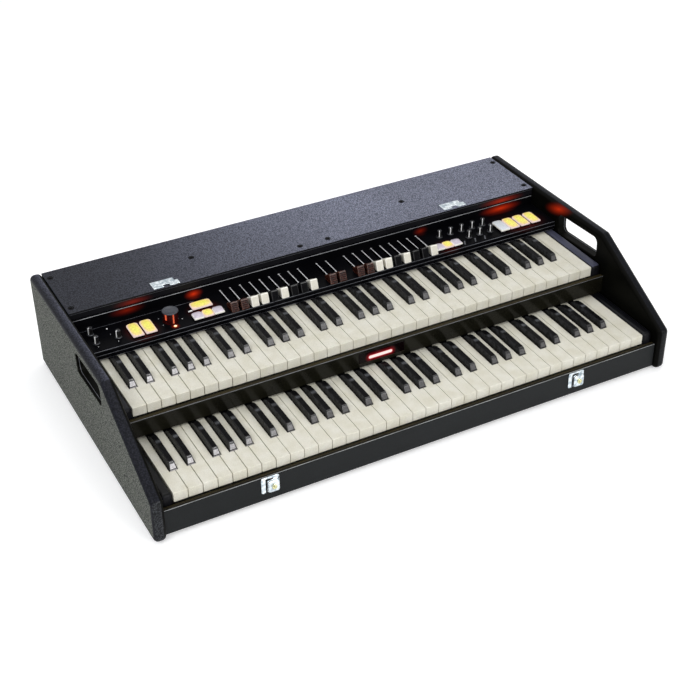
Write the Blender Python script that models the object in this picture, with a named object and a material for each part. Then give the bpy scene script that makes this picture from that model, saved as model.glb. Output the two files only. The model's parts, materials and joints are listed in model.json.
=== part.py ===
# Portable two-manual electronic organ with drawbars, in metres, +Z up.
# X runs along the keys from bass to treble, Y runs from the player to the back.
# The case is drawn from its own datum: Y = 0 at the front of the side panels and
# Z = 0 at their lower edge. One empty carries that datum to the part's frame.

import math

import bmesh
import bpy
from mathutils import Vector

# Fits
GAP = 0.0003
KEY_GAP = 0.0010
SLIDE_GAP = 0.0003
RAIL_CLEARANCE = 0.0020

# Keys, measured back from their front edge and up from their underside
OCTAVES = 5
PLAYING_OCTAVE = 0
KEY_PITCH = 0.0235
KEY_HEIGHT = 0.0166
KEY_LENGTH = 0.1916
KEY_WALL = 0.0016
KEY_SKIN = 0.0026
KEY_FRONT_ROUND = 0.0012
PIVOT_SETBACK = 0.184
SHARP_PLACES = (0.90, 2.10, 3.857, 5.0, 6.143)
SHARP_WIDTH = 0.0126
SHARP_TOP_WIDTH = 0.0088
SHARP_RISE = 0.0115
SHARP_SETBACK = 0.050
SHARP_CREST_END = 0.116
SHARP_TAIL = 0.139
SHARP_STEM = 0.0076
SHARP_FOOT = 0.012
SHARP_LENGTH = 0.1895
NOTCH_SIDE_GAP = 0.0008
NOTCH_FRONT_GAP = 0.0016

# Manuals: where the naturals' front edge and top surface lie
LOWER_FRONT = 0.0192
LOWER_TOP = 0.0673
UPPER_FRONT = 0.1703
UPPER_TOP = 0.1206

# Rails behind the fixed keys, and the frames that carry the keys
NATURAL_BAR_DEPTH = 0.0045
NATURAL_BAR_HEIGHT = 0.0050
SHARP_BAR_DEPTH = 0.0050
FRAME_PLATE = 0.0020
FRAME_DROP = 0.0110
FRAME_FRONT = 0.0020
FRAME_BACK_GAP = 0.0012
FRAME_SHEET = 0.0025
FRAME_FLANGE = 0.0176
RIDGE_DEPTH = 0.0080
FELT_SETBACK = 0.0270
FELT_DEPTH = 0.0100
FELT_RISE = 0.0020

# Case
SIDE_THICKNESS = 0.0200
CHEEK_WIDTH = 0.0204
CASE_DEPTH = 0.5320
FRONT_HEIGHT = 0.0768
KNEE_Y = 0.1795
KNEE_Z = 0.1775
BACK_HEIGHT = 0.1745
CORNER_ROUND = 0.0095
EDGE_ROUND = 0.0080
ARC_STEPS = 3
SLOT_LENGTH = 0.1130
SLOT_HEIGHT = 0.0370
SLOT_CENTRE_Y = 0.2450
SLOT_CENTRE_Z = 0.1415
SLOT_ROUND = 0.0095
SLOT_EASE = 0.0020
SLOT_TILT = math.radians(2.5)
CHEEK_RISE = 0.0018
CHEEK_ADVANCE = 0.0011
CHEEK_BACK = 0.3720

# Bottom, feet, rails and back
BOTTOM_Z = 0.0050
BOTTOM_THICKNESS = 0.0093
FOOT_RADIUS = 0.0120
FOOT_HEIGHT = 0.0080
FOOT_INSET_X = 0.0430
FOOT_INSET_Y = 0.0600
FRONT_RAIL_Y = 0.0089
FRONT_RAIL_TOP = 0.0495
RAIL_ROUND = 0.0022
GROOVE_OFFSET = 0.0026
GROOVE_WIDTH = 0.0014
GROOVE_DEPTH = 0.0015
MIDDLE_RAIL_THICKNESS = 0.0083
MIDDLE_RAIL_BOTTOM = 0.0713
MIDDLE_RAIL_TOP = 0.1030
BACK_INSET = 0.0050
BACK_THICKNESS = 0.0090

# Lid and the rail under its front edge
LID_FRONT = 0.3840
LID_THICKNESS = 0.0035
LID_TOP = 0.1732
LID_ROUND = 0.0010
LID_RAIL_SETBACK = 0.0015
LID_RAIL_DEPTH = 0.0140
LID_RAIL_HEIGHT = 0.0110

# Badge window in the middle rail
BADGE_WIDTH = 0.0840
BADGE_HEIGHT = 0.0190
BADGE_THICKNESS = 0.0020
BADGE_Z = 0.0880

# Control panel: bent sheet with a front lip and a back upstand
PANEL_FRONT = 0.3090
PANEL_TOP = 0.1396
PANEL_SHEET = 0.0020
PANEL_LIP = 0.0154
PANEL_BEND = 0.0042
PANEL_BACK = 0.3860
PANEL_UPSTAND = 0.0154

# Drawbars
DRAWBAR_PITCH = 0.0181
DRAWBAR_COUNT = 9
BASS_COUNT = 2
DRAWBAR_CENTRE = {"upper": -0.1163, "bass": 0.0013, "lower": 0.1177}
CAP_WIDTH = 0.0133
CAP_OVERHANG = 0.0004
CAP_HEIGHT = 0.0174
CAP_LEAN = 0.0060
CAP_CREST = 0.0020
CAP_CREST_DROP = 0.0004
CAP_BACK = 0.0240
CAP_BACK_HEIGHT = 0.0075
CAP_BASE_DEPTH = 0.0225
STEM_SETBACK = 0.0060
STEM_DEPTH = 0.0060
STEM_WIDTH = 0.0018
SLOT_REACH = 0.0650
DRAWBAR_FOOT_DEPTH = 0.0080
DRAWBAR_FOOT_WIDTH = 0.0080
DRAWBAR_FOOT_HEIGHT = 0.0050

# Rocker tabs, given as centre X and centre Y
TAB_LENGTH = 0.0380
TAB_WIDTH = 0.0190
TAB_RISE = 0.0070
TAB_CROWN = 0.0014
TAB_DEPTH = 0.0040
TAB_ROUND = 0.0040
TAB_END_GAP = 0.0012
TAB_SIDE_GAP = 0.0005
TAB_Y = 0.3345
LONG_TAB_X = (-0.3535, -0.3315, 0.3430, 0.3635, 0.3855, 0.4080)
CROSS_TAB = (-0.2310, 0.3545)
CROSS_TAB_WIDTH = 0.0360
CROSS_TAB_DEPTH = 0.0200
SHORT_TAB_ROWS = ((-0.2318, 0.3248, 0.0180), (0.2240, 0.3248, 0.0177))
SHORT_TAB_DEPTH = 0.0192
SINK = 0.0005

# Knobs
VIBRATO_X = -0.2912
VIBRATO_Y = 0.3378
VIBRATO_RADIUS = 0.0140
VIBRATO_HEIGHT = 0.0205
SHAFT_RADIUS = 0.0030
SHAFT_CLEARANCE = 0.0004
SHAFT_DROP = 0.0080
KNOB_SKIRT_RADIUS = 0.0058
KNOB_RADIUS = 0.0042
KNOB_SKIRT = 0.0025
KNOB_HEIGHT = 0.0145
KNOB_ROWS = (
    ((-0.4190,), 0.3610),
    ((-0.4190, -0.3822), 0.3325),
    ((0.2290, 0.2520, 0.2748, 0.2972, 0.3192), 0.3600),
    ((0.2745, 0.2970, 0.3192), 0.3340),
)

# Chromed fittings: keepers on the lid and catches on the front rail
FITTING_X = 0.2778
FITTING_OFFSET = 0.0028
KEEPER_X = 0.2763
KEEPER_OFFSET = 0.0013
KEEPER_WIDTH = 0.0460
KEEPER_DEPTH = 0.0213
KEEPER_SHEET = 0.0015
KEEPER_STEP_WIDTH = 0.0060
KEEPER_STEP_DEPTH = 0.0090
KEEPER_SETBACK = 0.0020
KEEPER_NOTCH = 0.0108
KEEPER_NOTCH_DEPTH = 0.0066
CATCH_WIDTH = 0.0300
CATCH_HEIGHT = 0.0290
CATCH_BOTTOM = 0.0195
CATCH_SHEET = 0.0015
CATCH_LEVER_WIDTH = 0.0195
CATCH_LEVER_HEIGHT = 0.0215
CATCH_LEVER_DEPTH = 0.0040
CATCH_SHIFT = 0.0045
CATCH_DROP = 0.0030
CATCH_LOCK_RADIUS = 0.0040
CATCH_LOCK_DEPTH = 0.0015

# Rear connector plate and the power switch in it
PLATE_X = 0.1000
PLATE_Z = 0.0720
PLATE_WIDTH = 0.2400
PLATE_HEIGHT = 0.0620
PLATE_SHEET = 0.0015
PLATE_OVERLAP = 0.0060
JACK_RADIUS = 0.0065
JACK_BORE = 0.0032
JACK_PROUD = 0.0020
JACK_PITCH = 0.0240
JACK_COUNT = 4
JACK_ROW_Z = 0.0140
SOCKET_MARGIN = 0.0300
DIN_RADIUS = 0.0085
DIN_BORE = 0.0062
DIN_COUNT = 2
DIN_PITCH = 0.0300
INLET_WIDTH = 0.0280
INLET_HEIGHT = 0.0200
INLET_WALL = 0.0030
INLET_DEPTH = 0.0160
INLET_MARGIN = 0.0300
INLET_Z = -0.0120
SWITCH_WIDTH = 0.0190
SWITCH_HEIGHT = 0.0130
SWITCH_DEPTH = 0.0060
SWITCH_CLEARANCE = 0.0013
SWITCH_Z = 0.0160

# Circuit board on posts behind the manuals
BOARD_X = -0.0800
BOARD_CLEARANCE = 0.0180
BOARD_WIDTH = 0.2200
BOARD_DEPTH = 0.1000
BOARD_THICKNESS = 0.0016
POST_HEIGHT = 0.0080
POST_RADIUS = 0.0030
POST_INSET = 0.0060
BOARD_PARTS = (
    (-0.0800, -0.0200, 0.0400, 0.0400, 0.0300),
    (-0.0200, 0.0150, 0.0300, 0.0300, 0.0030),
    (0.0300, 0.0150, 0.0200, 0.0200, 0.0025),
    (0.0700, -0.0150, 0.0120, 0.0500, 0.0180),
    (0.0100, -0.0300, 0.0500, 0.0080, 0.0090),
)

# Sizes that follow from the ones above
NATURALS = 7 * OCTAVES + 1
KEYS_HALF = NATURALS * KEY_PITCH / 2
INNER_HALF = KEYS_HALF + CHEEK_WIDTH
FIT_HALF = INNER_HALF - GAP
SIDE_CENTRE = INNER_HALF + SIDE_THICKNESS / 2
FLOOR_Z = BOTTOM_Z + BOTTOM_THICKNESS
FOOT_LIFT = FOOT_HEIGHT - BOTTOM_Z
FRONT_RAIL_BACK = LOWER_FRONT - RAIL_CLEARANCE
MIDDLE_RAIL_BACK = UPPER_FRONT - RAIL_CLEARANCE
MIDDLE_RAIL_FRONT = MIDDLE_RAIL_BACK - MIDDLE_RAIL_THICKNESS
BACK_REAR = CASE_DEPTH - BACK_INSET
BACK_FRONT = BACK_REAR - BACK_THICKNESS
LID_BOTTOM = LID_TOP - LID_THICKNESS
LID_RAIL_FRONT = LID_FRONT + LID_RAIL_SETBACK
RIDGE_TOP = -GAP
NATURAL_BAR_BACK = KEY_LENGTH - PIVOT_SETBACK - KEY_WALL / 2 + NATURAL_BAR_DEPTH
SHARP_BAR_BACK = NATURAL_BAR_BACK + KEY_GAP + SHARP_BAR_DEPTH
NOTCH_HALF = SHARP_WIDTH / 2 + NOTCH_SIDE_GAP
NOTCH_FRONT = SHARP_SETBACK - NOTCH_FRONT_GAP
CAP_FRONT = PANEL_FRONT - CAP_OVERHANG
DRAWBAR_SLOT_WIDTH = STEM_WIDTH + 2 * SLIDE_GAP
INLET_X = PLATE_WIDTH / 2 - INLET_MARGIN
BOARD_Y = BACK_FRONT - BOARD_CLEARANCE - BOARD_DEPTH / 2


# Materials

def material(name, colour, roughness, metallic=0.0, glow=None):
    made = bpy.data.materials.new(name)
    made.use_nodes = True
    shader = made.node_tree.nodes["Principled BSDF"]
    shader.inputs["Base Color"].default_value = (*colour, 1.0)
    shader.inputs["Roughness"].default_value = roughness
    shader.inputs["Metallic"].default_value = metallic
    if glow:
        shader.inputs["Emission Color"].default_value = (*glow, 1.0)
        shader.inputs["Emission Strength"].default_value = 1.0
    made.diffuse_color = (*colour, 1.0)
    return made


def make_materials():
    return {
        "side_paint": material("side_paint", (0.060, 0.063, 0.058), 0.75),
        "black_wood": material("black_wood", (0.018, 0.018, 0.022), 0.45),
        "lid_paint": material("lid_paint", (0.070, 0.072, 0.080), 0.70),
        "panel_metal": material("panel_metal", (0.012, 0.012, 0.013), 0.22, 0.1),
        "steel_frame": material("steel_frame", (0.45, 0.46, 0.47), 0.40, 1.0),
        "ivory": material("ivory", (0.78, 0.74, 0.62), 0.32),
        "ebony": material("ebony", (0.014, 0.014, 0.015), 0.25),
        "brown_cap": material("brown_cap", (0.060, 0.020, 0.014), 0.28),
        "white_cap": material("white_cap", (0.78, 0.75, 0.66), 0.35),
        "black_cap": material("black_cap", (0.015, 0.015, 0.016), 0.30),
        "lit_tab": material("lit_tab", (0.90, 0.72, 0.22), 0.35, 0.0, (0.90, 0.65, 0.12)),
        "white_tab": material("white_tab", (0.72, 0.70, 0.70), 0.35),
        "knob": material("knob", (0.016, 0.016, 0.017), 0.40),
        "chrome": material("chrome", (0.80, 0.80, 0.80), 0.15, 1.0),
        "rubber": material("rubber", (0.020, 0.020, 0.020), 0.85),
        "badge_red": material("badge_red", (0.60, 0.05, 0.03), 0.25, 0.0, (0.70, 0.05, 0.02)),
        "board_green": material("board_green", (0.03, 0.16, 0.07), 0.50),
        "plate_paint": material("plate_paint", (0.025, 0.025, 0.027), 0.50, 0.3),
    }


# Mesh helpers

def new_object(name, bm, look, location, parent):
    bmesh.ops.recalc_face_normals(bm, faces=bm.faces)
    mesh = bpy.data.meshes.new(name)
    bm.to_mesh(mesh)
    bm.free()
    mesh.materials.append(look)
    mesh.shade_smooth()
    mesh.set_sharp_from_angle(angle=math.radians(35))
    made = bpy.data.objects.new(name, mesh)
    made.location = location
    made.parent = parent
    bpy.context.collection.objects.link(made)
    return made


def apply_tool(target, tool, operation):
    tool.hide_render = True
    tool.display_type = "WIRE"
    step = target.modifiers.new(tool.name, "BOOLEAN")
    step.operation = operation
    step.solver = "EXACT"
    step.material_mode = "TRANSFER"
    step.object = tool


def rounded(points, radius, inset=0.0, steps=ARC_STEPS):
    # Outline with an arc at each corner, moved inwards by the inset.
    result = []
    for index, corner in enumerate(points):
        here = Vector(corner)
        before = (Vector(points[index - 1]) - here).normalized()
        after = (Vector(points[(index + 1) % len(points)]) - here).normalized()
        half = before.angle(after) / 2
        centre = here + (before + after).normalized() * (radius / math.sin(half))
        first = (here + before * (radius / math.tan(half)) - centre).normalized()
        last = (here + after * (radius / math.tan(half)) - centre).normalized()
        sweep = first.angle(last)
        for step in range(steps + 1):
            share = step / steps
            ray = first * math.sin((1 - share) * sweep) + last * math.sin(share * sweep)
            result.append(tuple(centre + ray / math.sin(sweep) * (radius - inset)))
    return result


def circle(x, y, radius, sides):
    turn = 2 * math.pi / sides
    return [(x + radius * math.cos(turn * k), y + radius * math.sin(turn * k)) for k in range(sides)]


def loft(bm, rings):
    # Skins a list of rings that have as many points each, and caps both ends.
    loops = [[bm.verts.new(point) for point in ring] for ring in rings]
    for below, above in zip(loops, loops[1:]):
        for index in range(len(below)):
            nxt = (index + 1) % len(below)
            bm.faces.new((below[index], below[nxt], above[nxt], above[index]))
    bm.faces.new(loops[0][::-1])
    bm.faces.new(loops[-1])


def slab_x(bm, outline, x0, x1):
    loft(bm, [[(x, y, z) for y, z in outline] for x in (x0, x1)])


def slab_y(bm, outline, y0, y1):
    loft(bm, [[(x, y, z) for x, z in outline] for y in (y0, y1)])


def slab_z(bm, outline, z0, z1):
    loft(bm, [[(x, y, z) for x, y in outline] for z in (z0, z1)])


def box(bm, x, y, z):
    slab_z(bm, [(x[0], y[0]), (x[1], y[0]), (x[1], y[1]), (x[0], y[1])], z[0], z[1])


def rectangle(width, depth, x=0.0, y=0.0):
    return [
        (x - width / 2, y - depth / 2),
        (x + width / 2, y - depth / 2),
        (x + width / 2, y + depth / 2),
        (x - width / 2, y + depth / 2),
    ]


def stepped_round(bm, x, y, steps, sides):
    # Turned form on Z: steps are pairs of radius and height.
    loft(bm, [[(px, py, z) for px, py in circle(x, y, r, sides)] for r, z in steps])


# Keys, built about their pivot: Y = 0 on the axis, Z = 0 on their underside

def sharp_centres():
    places = (7 * octave + place for octave in range(OCTAVES) for place in SHARP_PLACES)
    return [place * KEY_PITCH - KEYS_HALF for place in places]


def natural_edges(number):
    left = number * KEY_PITCH - KEYS_HALF + KEY_GAP / 2
    return left, left + KEY_PITCH - KEY_GAP


def natural_outline(number, origin_x):
    # Head across the full width, tail narrowed where a sharp stands beside it.
    left, right = natural_edges(number)
    tail_left, tail_right = left, right
    for centre in sharp_centres():
        if centre - NOTCH_HALF < right < centre + NOTCH_HALF:
            tail_right = centre - NOTCH_HALF
        if centre - NOTCH_HALF < left < centre + NOTCH_HALF:
            tail_left = centre + NOTCH_HALF
    front = -PIVOT_SETBACK
    notch = front + NOTCH_FRONT
    back = front + KEY_LENGTH
    outline = [(left, front), (right, front)]
    if tail_right < right:
        outline += [(right, notch), (tail_right, notch)]
    outline += [(tail_right, back), (tail_left, back)]
    if tail_left > left:
        outline += [(tail_left, notch), (left, notch)]
    return [(x - origin_x, y) for x, y in outline]


def add_natural(bm, number, origin_x=0.0):
    # Moulded shell, open below, with a rounded front top edge.
    piece = bmesh.new()
    slab_z(piece, natural_outline(number, origin_x), 0.0, KEY_HEIGHT)
    bmesh.ops.recalc_face_normals(piece, faces=piece.faces)
    under = [face for face in piece.faces if face.normal.z < -0.9]
    bmesh.ops.inset_region(piece, faces=under, thickness=KEY_WALL, use_even_offset=True)
    for vert in under[0].verts:
        vert.co.z = KEY_HEIGHT - KEY_SKIN
    front = -PIVOT_SETBACK
    nose = [
        edge
        for edge in piece.edges
        if all(abs(v.co.y - front) < 1e-6 and abs(v.co.z - KEY_HEIGHT) < 1e-6 for v in edge.verts)
    ]
    bmesh.ops.bevel(piece, geom=nose, offset=KEY_FRONT_ROUND, segments=2, profile=0.5, affect="EDGES")
    append(bm, piece)


def append(bm, piece):
    shell = bpy.data.meshes.new("shell")
    piece.to_mesh(shell)
    piece.free()
    bm.from_mesh(shell)
    bpy.data.meshes.remove(shell)


def sharp_profile(rear_end):
    # Side view: sloped front, level crest, curve down to a low stem, foot at the pivot.
    top = KEY_HEIGHT
    crest = top + SHARP_RISE
    front = SHARP_SETBACK
    drop = SHARP_TAIL - SHARP_CREST_END
    points = [
        (front, SHARP_STEM),
        (front, top),
        (front + 0.0043, crest - 0.0017),
        (front + 0.0070, crest),
    ]
    for turn in range(4):
        angle = turn * math.pi / 6
        reach = SHARP_CREST_END + drop * math.sin(angle)
        points.append((reach, top + SHARP_RISE * math.cos(angle)))
    points += [(rear_end, top)]
    if rear_end > SHARP_LENGTH:
        points += [(rear_end, SHARP_STEM), (SHARP_LENGTH, SHARP_STEM)]
    points += [(SHARP_LENGTH, 0.0), (SHARP_LENGTH - SHARP_FOOT, 0.0), (SHARP_LENGTH - SHARP_FOOT, SHARP_STEM)]
    return [(y - PIVOT_SETBACK, z) for y, z in points]


def add_sharp(bm, centre, rear_end, origin_x=0.0):
    # Prism with its sides leaning in above the naturals.
    piece = bmesh.new()
    slab_x(piece, sharp_profile(rear_end), -SHARP_WIDTH / 2, SHARP_WIDTH / 2)
    everything = piece.verts[:] + piece.edges[:] + piece.faces[:]
    level = Vector((0.0, 0.0, KEY_HEIGHT))
    bmesh.ops.bisect_plane(piece, geom=everything, plane_co=level, plane_no=Vector((0, 0, 1)))
    lean = (SHARP_WIDTH - SHARP_TOP_WIDTH) / 2 / SHARP_RISE
    for vert in piece.verts:
        rise = max(0.0, vert.co.z - KEY_HEIGHT)
        side = math.copysign(SHARP_WIDTH / 2 - lean * rise, vert.co.x)
        vert.co.x = centre - origin_x + side
    append(bm, piece)


def make_playing_keys(manual, front, top, looks, datum):
    # One octave in which each key turns on its own pivot.
    pivot = (front + PIVOT_SETBACK, top - KEY_HEIGHT)
    names = ("c", "d", "e", "f", "g", "a", "b")
    for place, name in enumerate(names):
        number = 7 * PLAYING_OCTAVE + place
        left, right = natural_edges(number)
        middle = (left + right) / 2
        bm = bmesh.new()
        add_natural(bm, number, middle)
        new_object(f"{manual}_key_{name}", bm, looks["ivory"], (middle, *pivot), datum)
    sharps = ("c_sharp", "d_sharp", "f_sharp", "g_sharp", "a_sharp")
    first = len(SHARP_PLACES) * PLAYING_OCTAVE
    for centre, name in zip(sharp_centres()[first:], sharps):
        bm = bmesh.new()
        add_sharp(bm, centre, SHARP_LENGTH, centre)
        new_object(f"{manual}_key_{name}", bm, looks["ebony"], (centre, *pivot), datum)


def make_joined_keys(manual, front, top, looks, datum):
    # The other octaves: naturals on one rear bar, sharps on another that passes over it.
    place = (0.0, front + PIVOT_SETBACK, top - KEY_HEIGHT)
    first = 7 * (PLAYING_OCTAVE + 1)
    bm = bmesh.new()
    for number in range(first, NATURALS):
        add_natural(bm, number)
    naturals = new_object(f"{manual}_naturals", bm, looks["ivory"], place, datum)
    bar = bmesh.new()
    span = (natural_edges(first)[0] + KEY_WALL, natural_edges(NATURALS - 1)[1] - KEY_WALL)
    depth = (NATURAL_BAR_BACK - NATURAL_BAR_DEPTH, NATURAL_BAR_BACK)
    box(bar, span, depth, (SHARP_STEM - KEY_GAP - NATURAL_BAR_HEIGHT, SHARP_STEM - KEY_GAP))
    apply_tool(naturals, new_object(f"{manual}_natural_bar", bar, looks["ivory"], place, datum), "UNION")
    bm = bmesh.new()
    centres = sharp_centres()[len(SHARP_PLACES) * (PLAYING_OCTAVE + 1):]
    for centre in centres:
        add_sharp(bm, centre, SHARP_BAR_BACK + PIVOT_SETBACK)
    sharps = new_object(f"{manual}_sharps", bm, looks["ebony"], place, datum)
    bar = bmesh.new()
    span = (centres[0] - SHARP_WIDTH / 4, centres[-1] + SHARP_WIDTH / 4)
    depth = (SHARP_BAR_BACK - SHARP_BAR_DEPTH, SHARP_BAR_BACK - SINK)
    box(bar, span, depth, (SHARP_STEM + SINK, KEY_HEIGHT - SINK))
    apply_tool(sharps, new_object(f"{manual}_sharp_bar", bar, looks["ebony"], place, datum), "UNION")


def make_key_frame(manual, front, top, looks, datum):
    # Steel tray between the cheeks: stop felt at the front, pivot ridge and flange at the back.
    plate_top = -FRAME_DROP
    plate_low = plate_top - FRAME_PLATE
    near = FRAME_FRONT - PIVOT_SETBACK
    far = SHARP_BAR_BACK + FRAME_BACK_GAP + FRAME_SHEET
    felt = FELT_SETBACK - PIVOT_SETBACK
    outline = [
        (near, plate_top),
        (near, plate_low),
        (far, plate_low),
        (far, plate_low + FRAME_FLANGE),
        (far - FRAME_SHEET, plate_low + FRAME_FLANGE),
        (far - FRAME_SHEET, plate_top),
        (RIDGE_DEPTH / 2, plate_top),
        (RIDGE_DEPTH / 2, RIDGE_TOP),
        (-RIDGE_DEPTH / 2, RIDGE_TOP),
        (-RIDGE_DEPTH / 2, plate_top),
        (felt + FELT_DEPTH / 2, plate_top),
        (felt + FELT_DEPTH / 2, plate_top + FELT_RISE),
        (felt - FELT_DEPTH / 2, plate_top + FELT_RISE),
        (felt - FELT_DEPTH / 2, plate_top),
    ]
    bm = bmesh.new()
    slab_x(bm, outline, -KEYS_HALF, KEYS_HALF)
    place = (0.0, front + PIVOT_SETBACK, top - KEY_HEIGHT)
    new_object(f"{manual}_key_frame", bm, looks["steel_frame"], place, datum)


# Case

def side_rings():
    corners = [(0.0, 0.0), (CASE_DEPTH, 0.0), (CASE_DEPTH, BACK_HEIGHT), (KNEE_Y, KNEE_Z), (0.0, FRONT_HEIGHT)]
    half = SIDE_THICKNESS / 2
    places = []
    for step in range(ARC_STEPS + 1):
        angle = step / ARC_STEPS * math.pi / 2
        places.append((half - EDGE_ROUND * (1 - math.cos(angle)), EDGE_ROUND * (1 - math.sin(angle))))
    places += [(-x, inset) for x, inset in reversed(places)]
    return [[(x, y, z) for y, z in rounded(corners, CORNER_ROUND, inset)] for x, inset in places]


def handle_outline(ease):
    turned = []
    for y, z in rounded(rectangle(SLOT_LENGTH, SLOT_HEIGHT), SLOT_ROUND, -ease):
        along = y * math.cos(SLOT_TILT) + z * math.sin(SLOT_TILT)
        up = z * math.cos(SLOT_TILT) - y * math.sin(SLOT_TILT)
        turned.append((SLOT_CENTRE_Y + along, SLOT_CENTRE_Z + up))
    return turned


def make_side_panel(name, side, looks, datum):
    place = (side * SIDE_CENTRE, 0.0, 0.0)
    bm = bmesh.new()
    loft(bm, side_rings())
    panel = new_object(name, bm, looks["side_paint"], place, datum)
    hole = bmesh.new()
    half = SIDE_THICKNESS / 2
    steps = [(-SIDE_THICKNESS, SLOT_EASE), (-half, SLOT_EASE), (SLOT_EASE - half, 0.0)]
    steps += [(-x, ease) for x, ease in reversed(steps)]
    loft(hole, [[(x, y, z) for y, z in handle_outline(ease)] for x, ease in steps])
    apply_tool(panel, new_object(f"{name}_handle_cutter", hole, looks["side_paint"], place, datum), "DIFFERENCE")


def make_cheek(name, side, looks, datum):
    # Stepped block that fills the space between the outer keys and the side panel.
    low_top = LOWER_TOP + CHEEK_RISE
    high_top = UPPER_TOP + CHEEK_RISE
    low_front = LOWER_FRONT - CHEEK_ADVANCE
    high_front = UPPER_FRONT - CHEEK_ADVANCE
    floor = FLOOR_Z + GAP
    outline = [
        (low_front, floor),
        (CHEEK_BACK, floor),
        (CHEEK_BACK, high_top),
        (high_front, high_top),
        (high_front, low_top),
        (low_front, low_top),
    ]
    near = KEYS_HALF + GAP
    bm = bmesh.new()
    slab_x(bm, outline, min(side * near, side * FIT_HALF), max(side * near, side * FIT_HALF))
    new_object(name, bm, looks["black_wood"], (0.0, 0.0, 0.0), datum)


def make_base_board(looks, datum):
    bm = bmesh.new()
    depth = (FRONT_RAIL_BACK + GAP, BACK_FRONT - GAP)
    box(bm, (-FIT_HALF, FIT_HALF), depth, (BOTTOM_Z, FLOOR_Z))
    board = new_object("base_board", bm, looks["black_wood"], (0.0, 0.0, 0.0), datum)
    feet = bmesh.new()
    low = BOTTOM_Z - FOOT_HEIGHT
    for x in (-INNER_HALF + FOOT_INSET_X, INNER_HALF - FOOT_INSET_X):
        for y in (FOOT_INSET_Y, CASE_DEPTH - FOOT_INSET_Y):
            rounds = [(FOOT_RADIUS * 0.92, low), (FOOT_RADIUS, low + 0.001), (FOOT_RADIUS, BOTTOM_Z + SINK)]
            stepped_round(feet, x, y, rounds, 16)
    apply_tool(board, new_object("rubber_feet_shape", feet, looks["rubber"], (0, 0, 0), datum), "UNION")


def make_front_rail(looks, datum):
    bm = bmesh.new()
    top = FRONT_RAIL_TOP
    groove = FRONT_RAIL_Y + GROOVE_OFFSET
    outline = [(FRONT_RAIL_Y, BOTTOM_Z), (FRONT_RAIL_BACK, BOTTOM_Z), (FRONT_RAIL_BACK, top)]
    outline += [(groove + GROOVE_WIDTH, top), (groove + GROOVE_WIDTH, top - GROOVE_DEPTH)]
    outline += [(groove, top - GROOVE_DEPTH), (groove, top)]
    outline += nose_arc(FRONT_RAIL_Y, top)
    slab_x(bm, outline, -FIT_HALF, FIT_HALF)
    new_object("front_rail", bm, looks["black_wood"], (0.0, 0.0, 0.0), datum)


def nose_arc(front, top):
    # Rounded front top corner of a rail, from its top face to its front face.
    points = []
    for step in range(ARC_STEPS + 1):
        angle = math.pi / 2 * (1 + step / ARC_STEPS)
        y = front + RAIL_ROUND + RAIL_ROUND * math.cos(angle)
        points.append((y, top - RAIL_ROUND + RAIL_ROUND * math.sin(angle)))
    return points


def make_middle_rail(looks, datum):
    bm = bmesh.new()
    low = MIDDLE_RAIL_BOTTOM
    high = MIDDLE_RAIL_TOP
    outline = [(MIDDLE_RAIL_FRONT, low), (MIDDLE_RAIL_BACK, low), (MIDDLE_RAIL_BACK, high)]
    outline += nose_arc(MIDDLE_RAIL_FRONT, high)
    slab_x(bm, outline, -FIT_HALF, FIT_HALF)
    rail = new_object("middle_rail", bm, looks["black_wood"], (0.0, 0.0, 0.0), datum)
    pocket = bmesh.new()
    depth = BADGE_THICKNESS + GAP
    window = rectangle(BADGE_WIDTH + 2 * GAP, BADGE_HEIGHT + 2 * GAP, 0.0, BADGE_Z)
    slab_y(pocket, window, MIDDLE_RAIL_FRONT - depth, MIDDLE_RAIL_FRONT + depth)
    apply_tool(rail, new_object("badge_pocket", pocket, looks["black_wood"], (0, 0, 0), datum), "DIFFERENCE")
    lens = bmesh.new()
    slab_y(lens, rounded(rectangle(BADGE_WIDTH, BADGE_HEIGHT), BADGE_THICKNESS), 0.0, BADGE_THICKNESS)
    new_object("badge_lens", lens, looks["badge_red"], (0.0, MIDDLE_RAIL_FRONT, BADGE_Z), datum)


def make_back_panel(looks, datum):
    bm = bmesh.new()
    box(bm, (-FIT_HALF, FIT_HALF), (BACK_FRONT, BACK_REAR), (BOTTOM_Z, LID_BOTTOM - GAP))
    panel = new_object("back_panel", bm, looks["black_wood"], (0.0, 0.0, 0.0), datum)
    hole = bmesh.new()
    window = rectangle(PLATE_WIDTH - 2 * PLATE_OVERLAP, PLATE_HEIGHT - 2 * PLATE_OVERLAP, PLATE_X, PLATE_Z)
    slab_y(hole, window, BACK_FRONT - BACK_THICKNESS, BACK_REAR + BACK_THICKNESS)
    apply_tool(panel, new_object("plate_window", hole, looks["black_wood"], (0, 0, 0), datum), "DIFFERENCE")


def make_lid(looks, datum):
    bm = bmesh.new()
    outline = rounded(
        [(LID_FRONT, LID_BOTTOM), (BACK_REAR, LID_BOTTOM), (BACK_REAR, LID_TOP), (LID_FRONT, LID_TOP)],
        LID_ROUND,
    )
    slab_x(bm, outline, -FIT_HALF, FIT_HALF)
    new_object("top_lid", bm, looks["lid_paint"], (0.0, 0.0, 0.0), datum)
    rail = bmesh.new()
    high = LID_BOTTOM - GAP
    depth = (LID_RAIL_FRONT, LID_RAIL_FRONT + LID_RAIL_DEPTH)
    box(rail, (-FIT_HALF, FIT_HALF), depth, (high - LID_RAIL_HEIGHT, high))
    new_object("lid_rail", rail, looks["black_wood"], (0.0, 0.0, 0.0), datum)


# Control panel and what is on it

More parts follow.
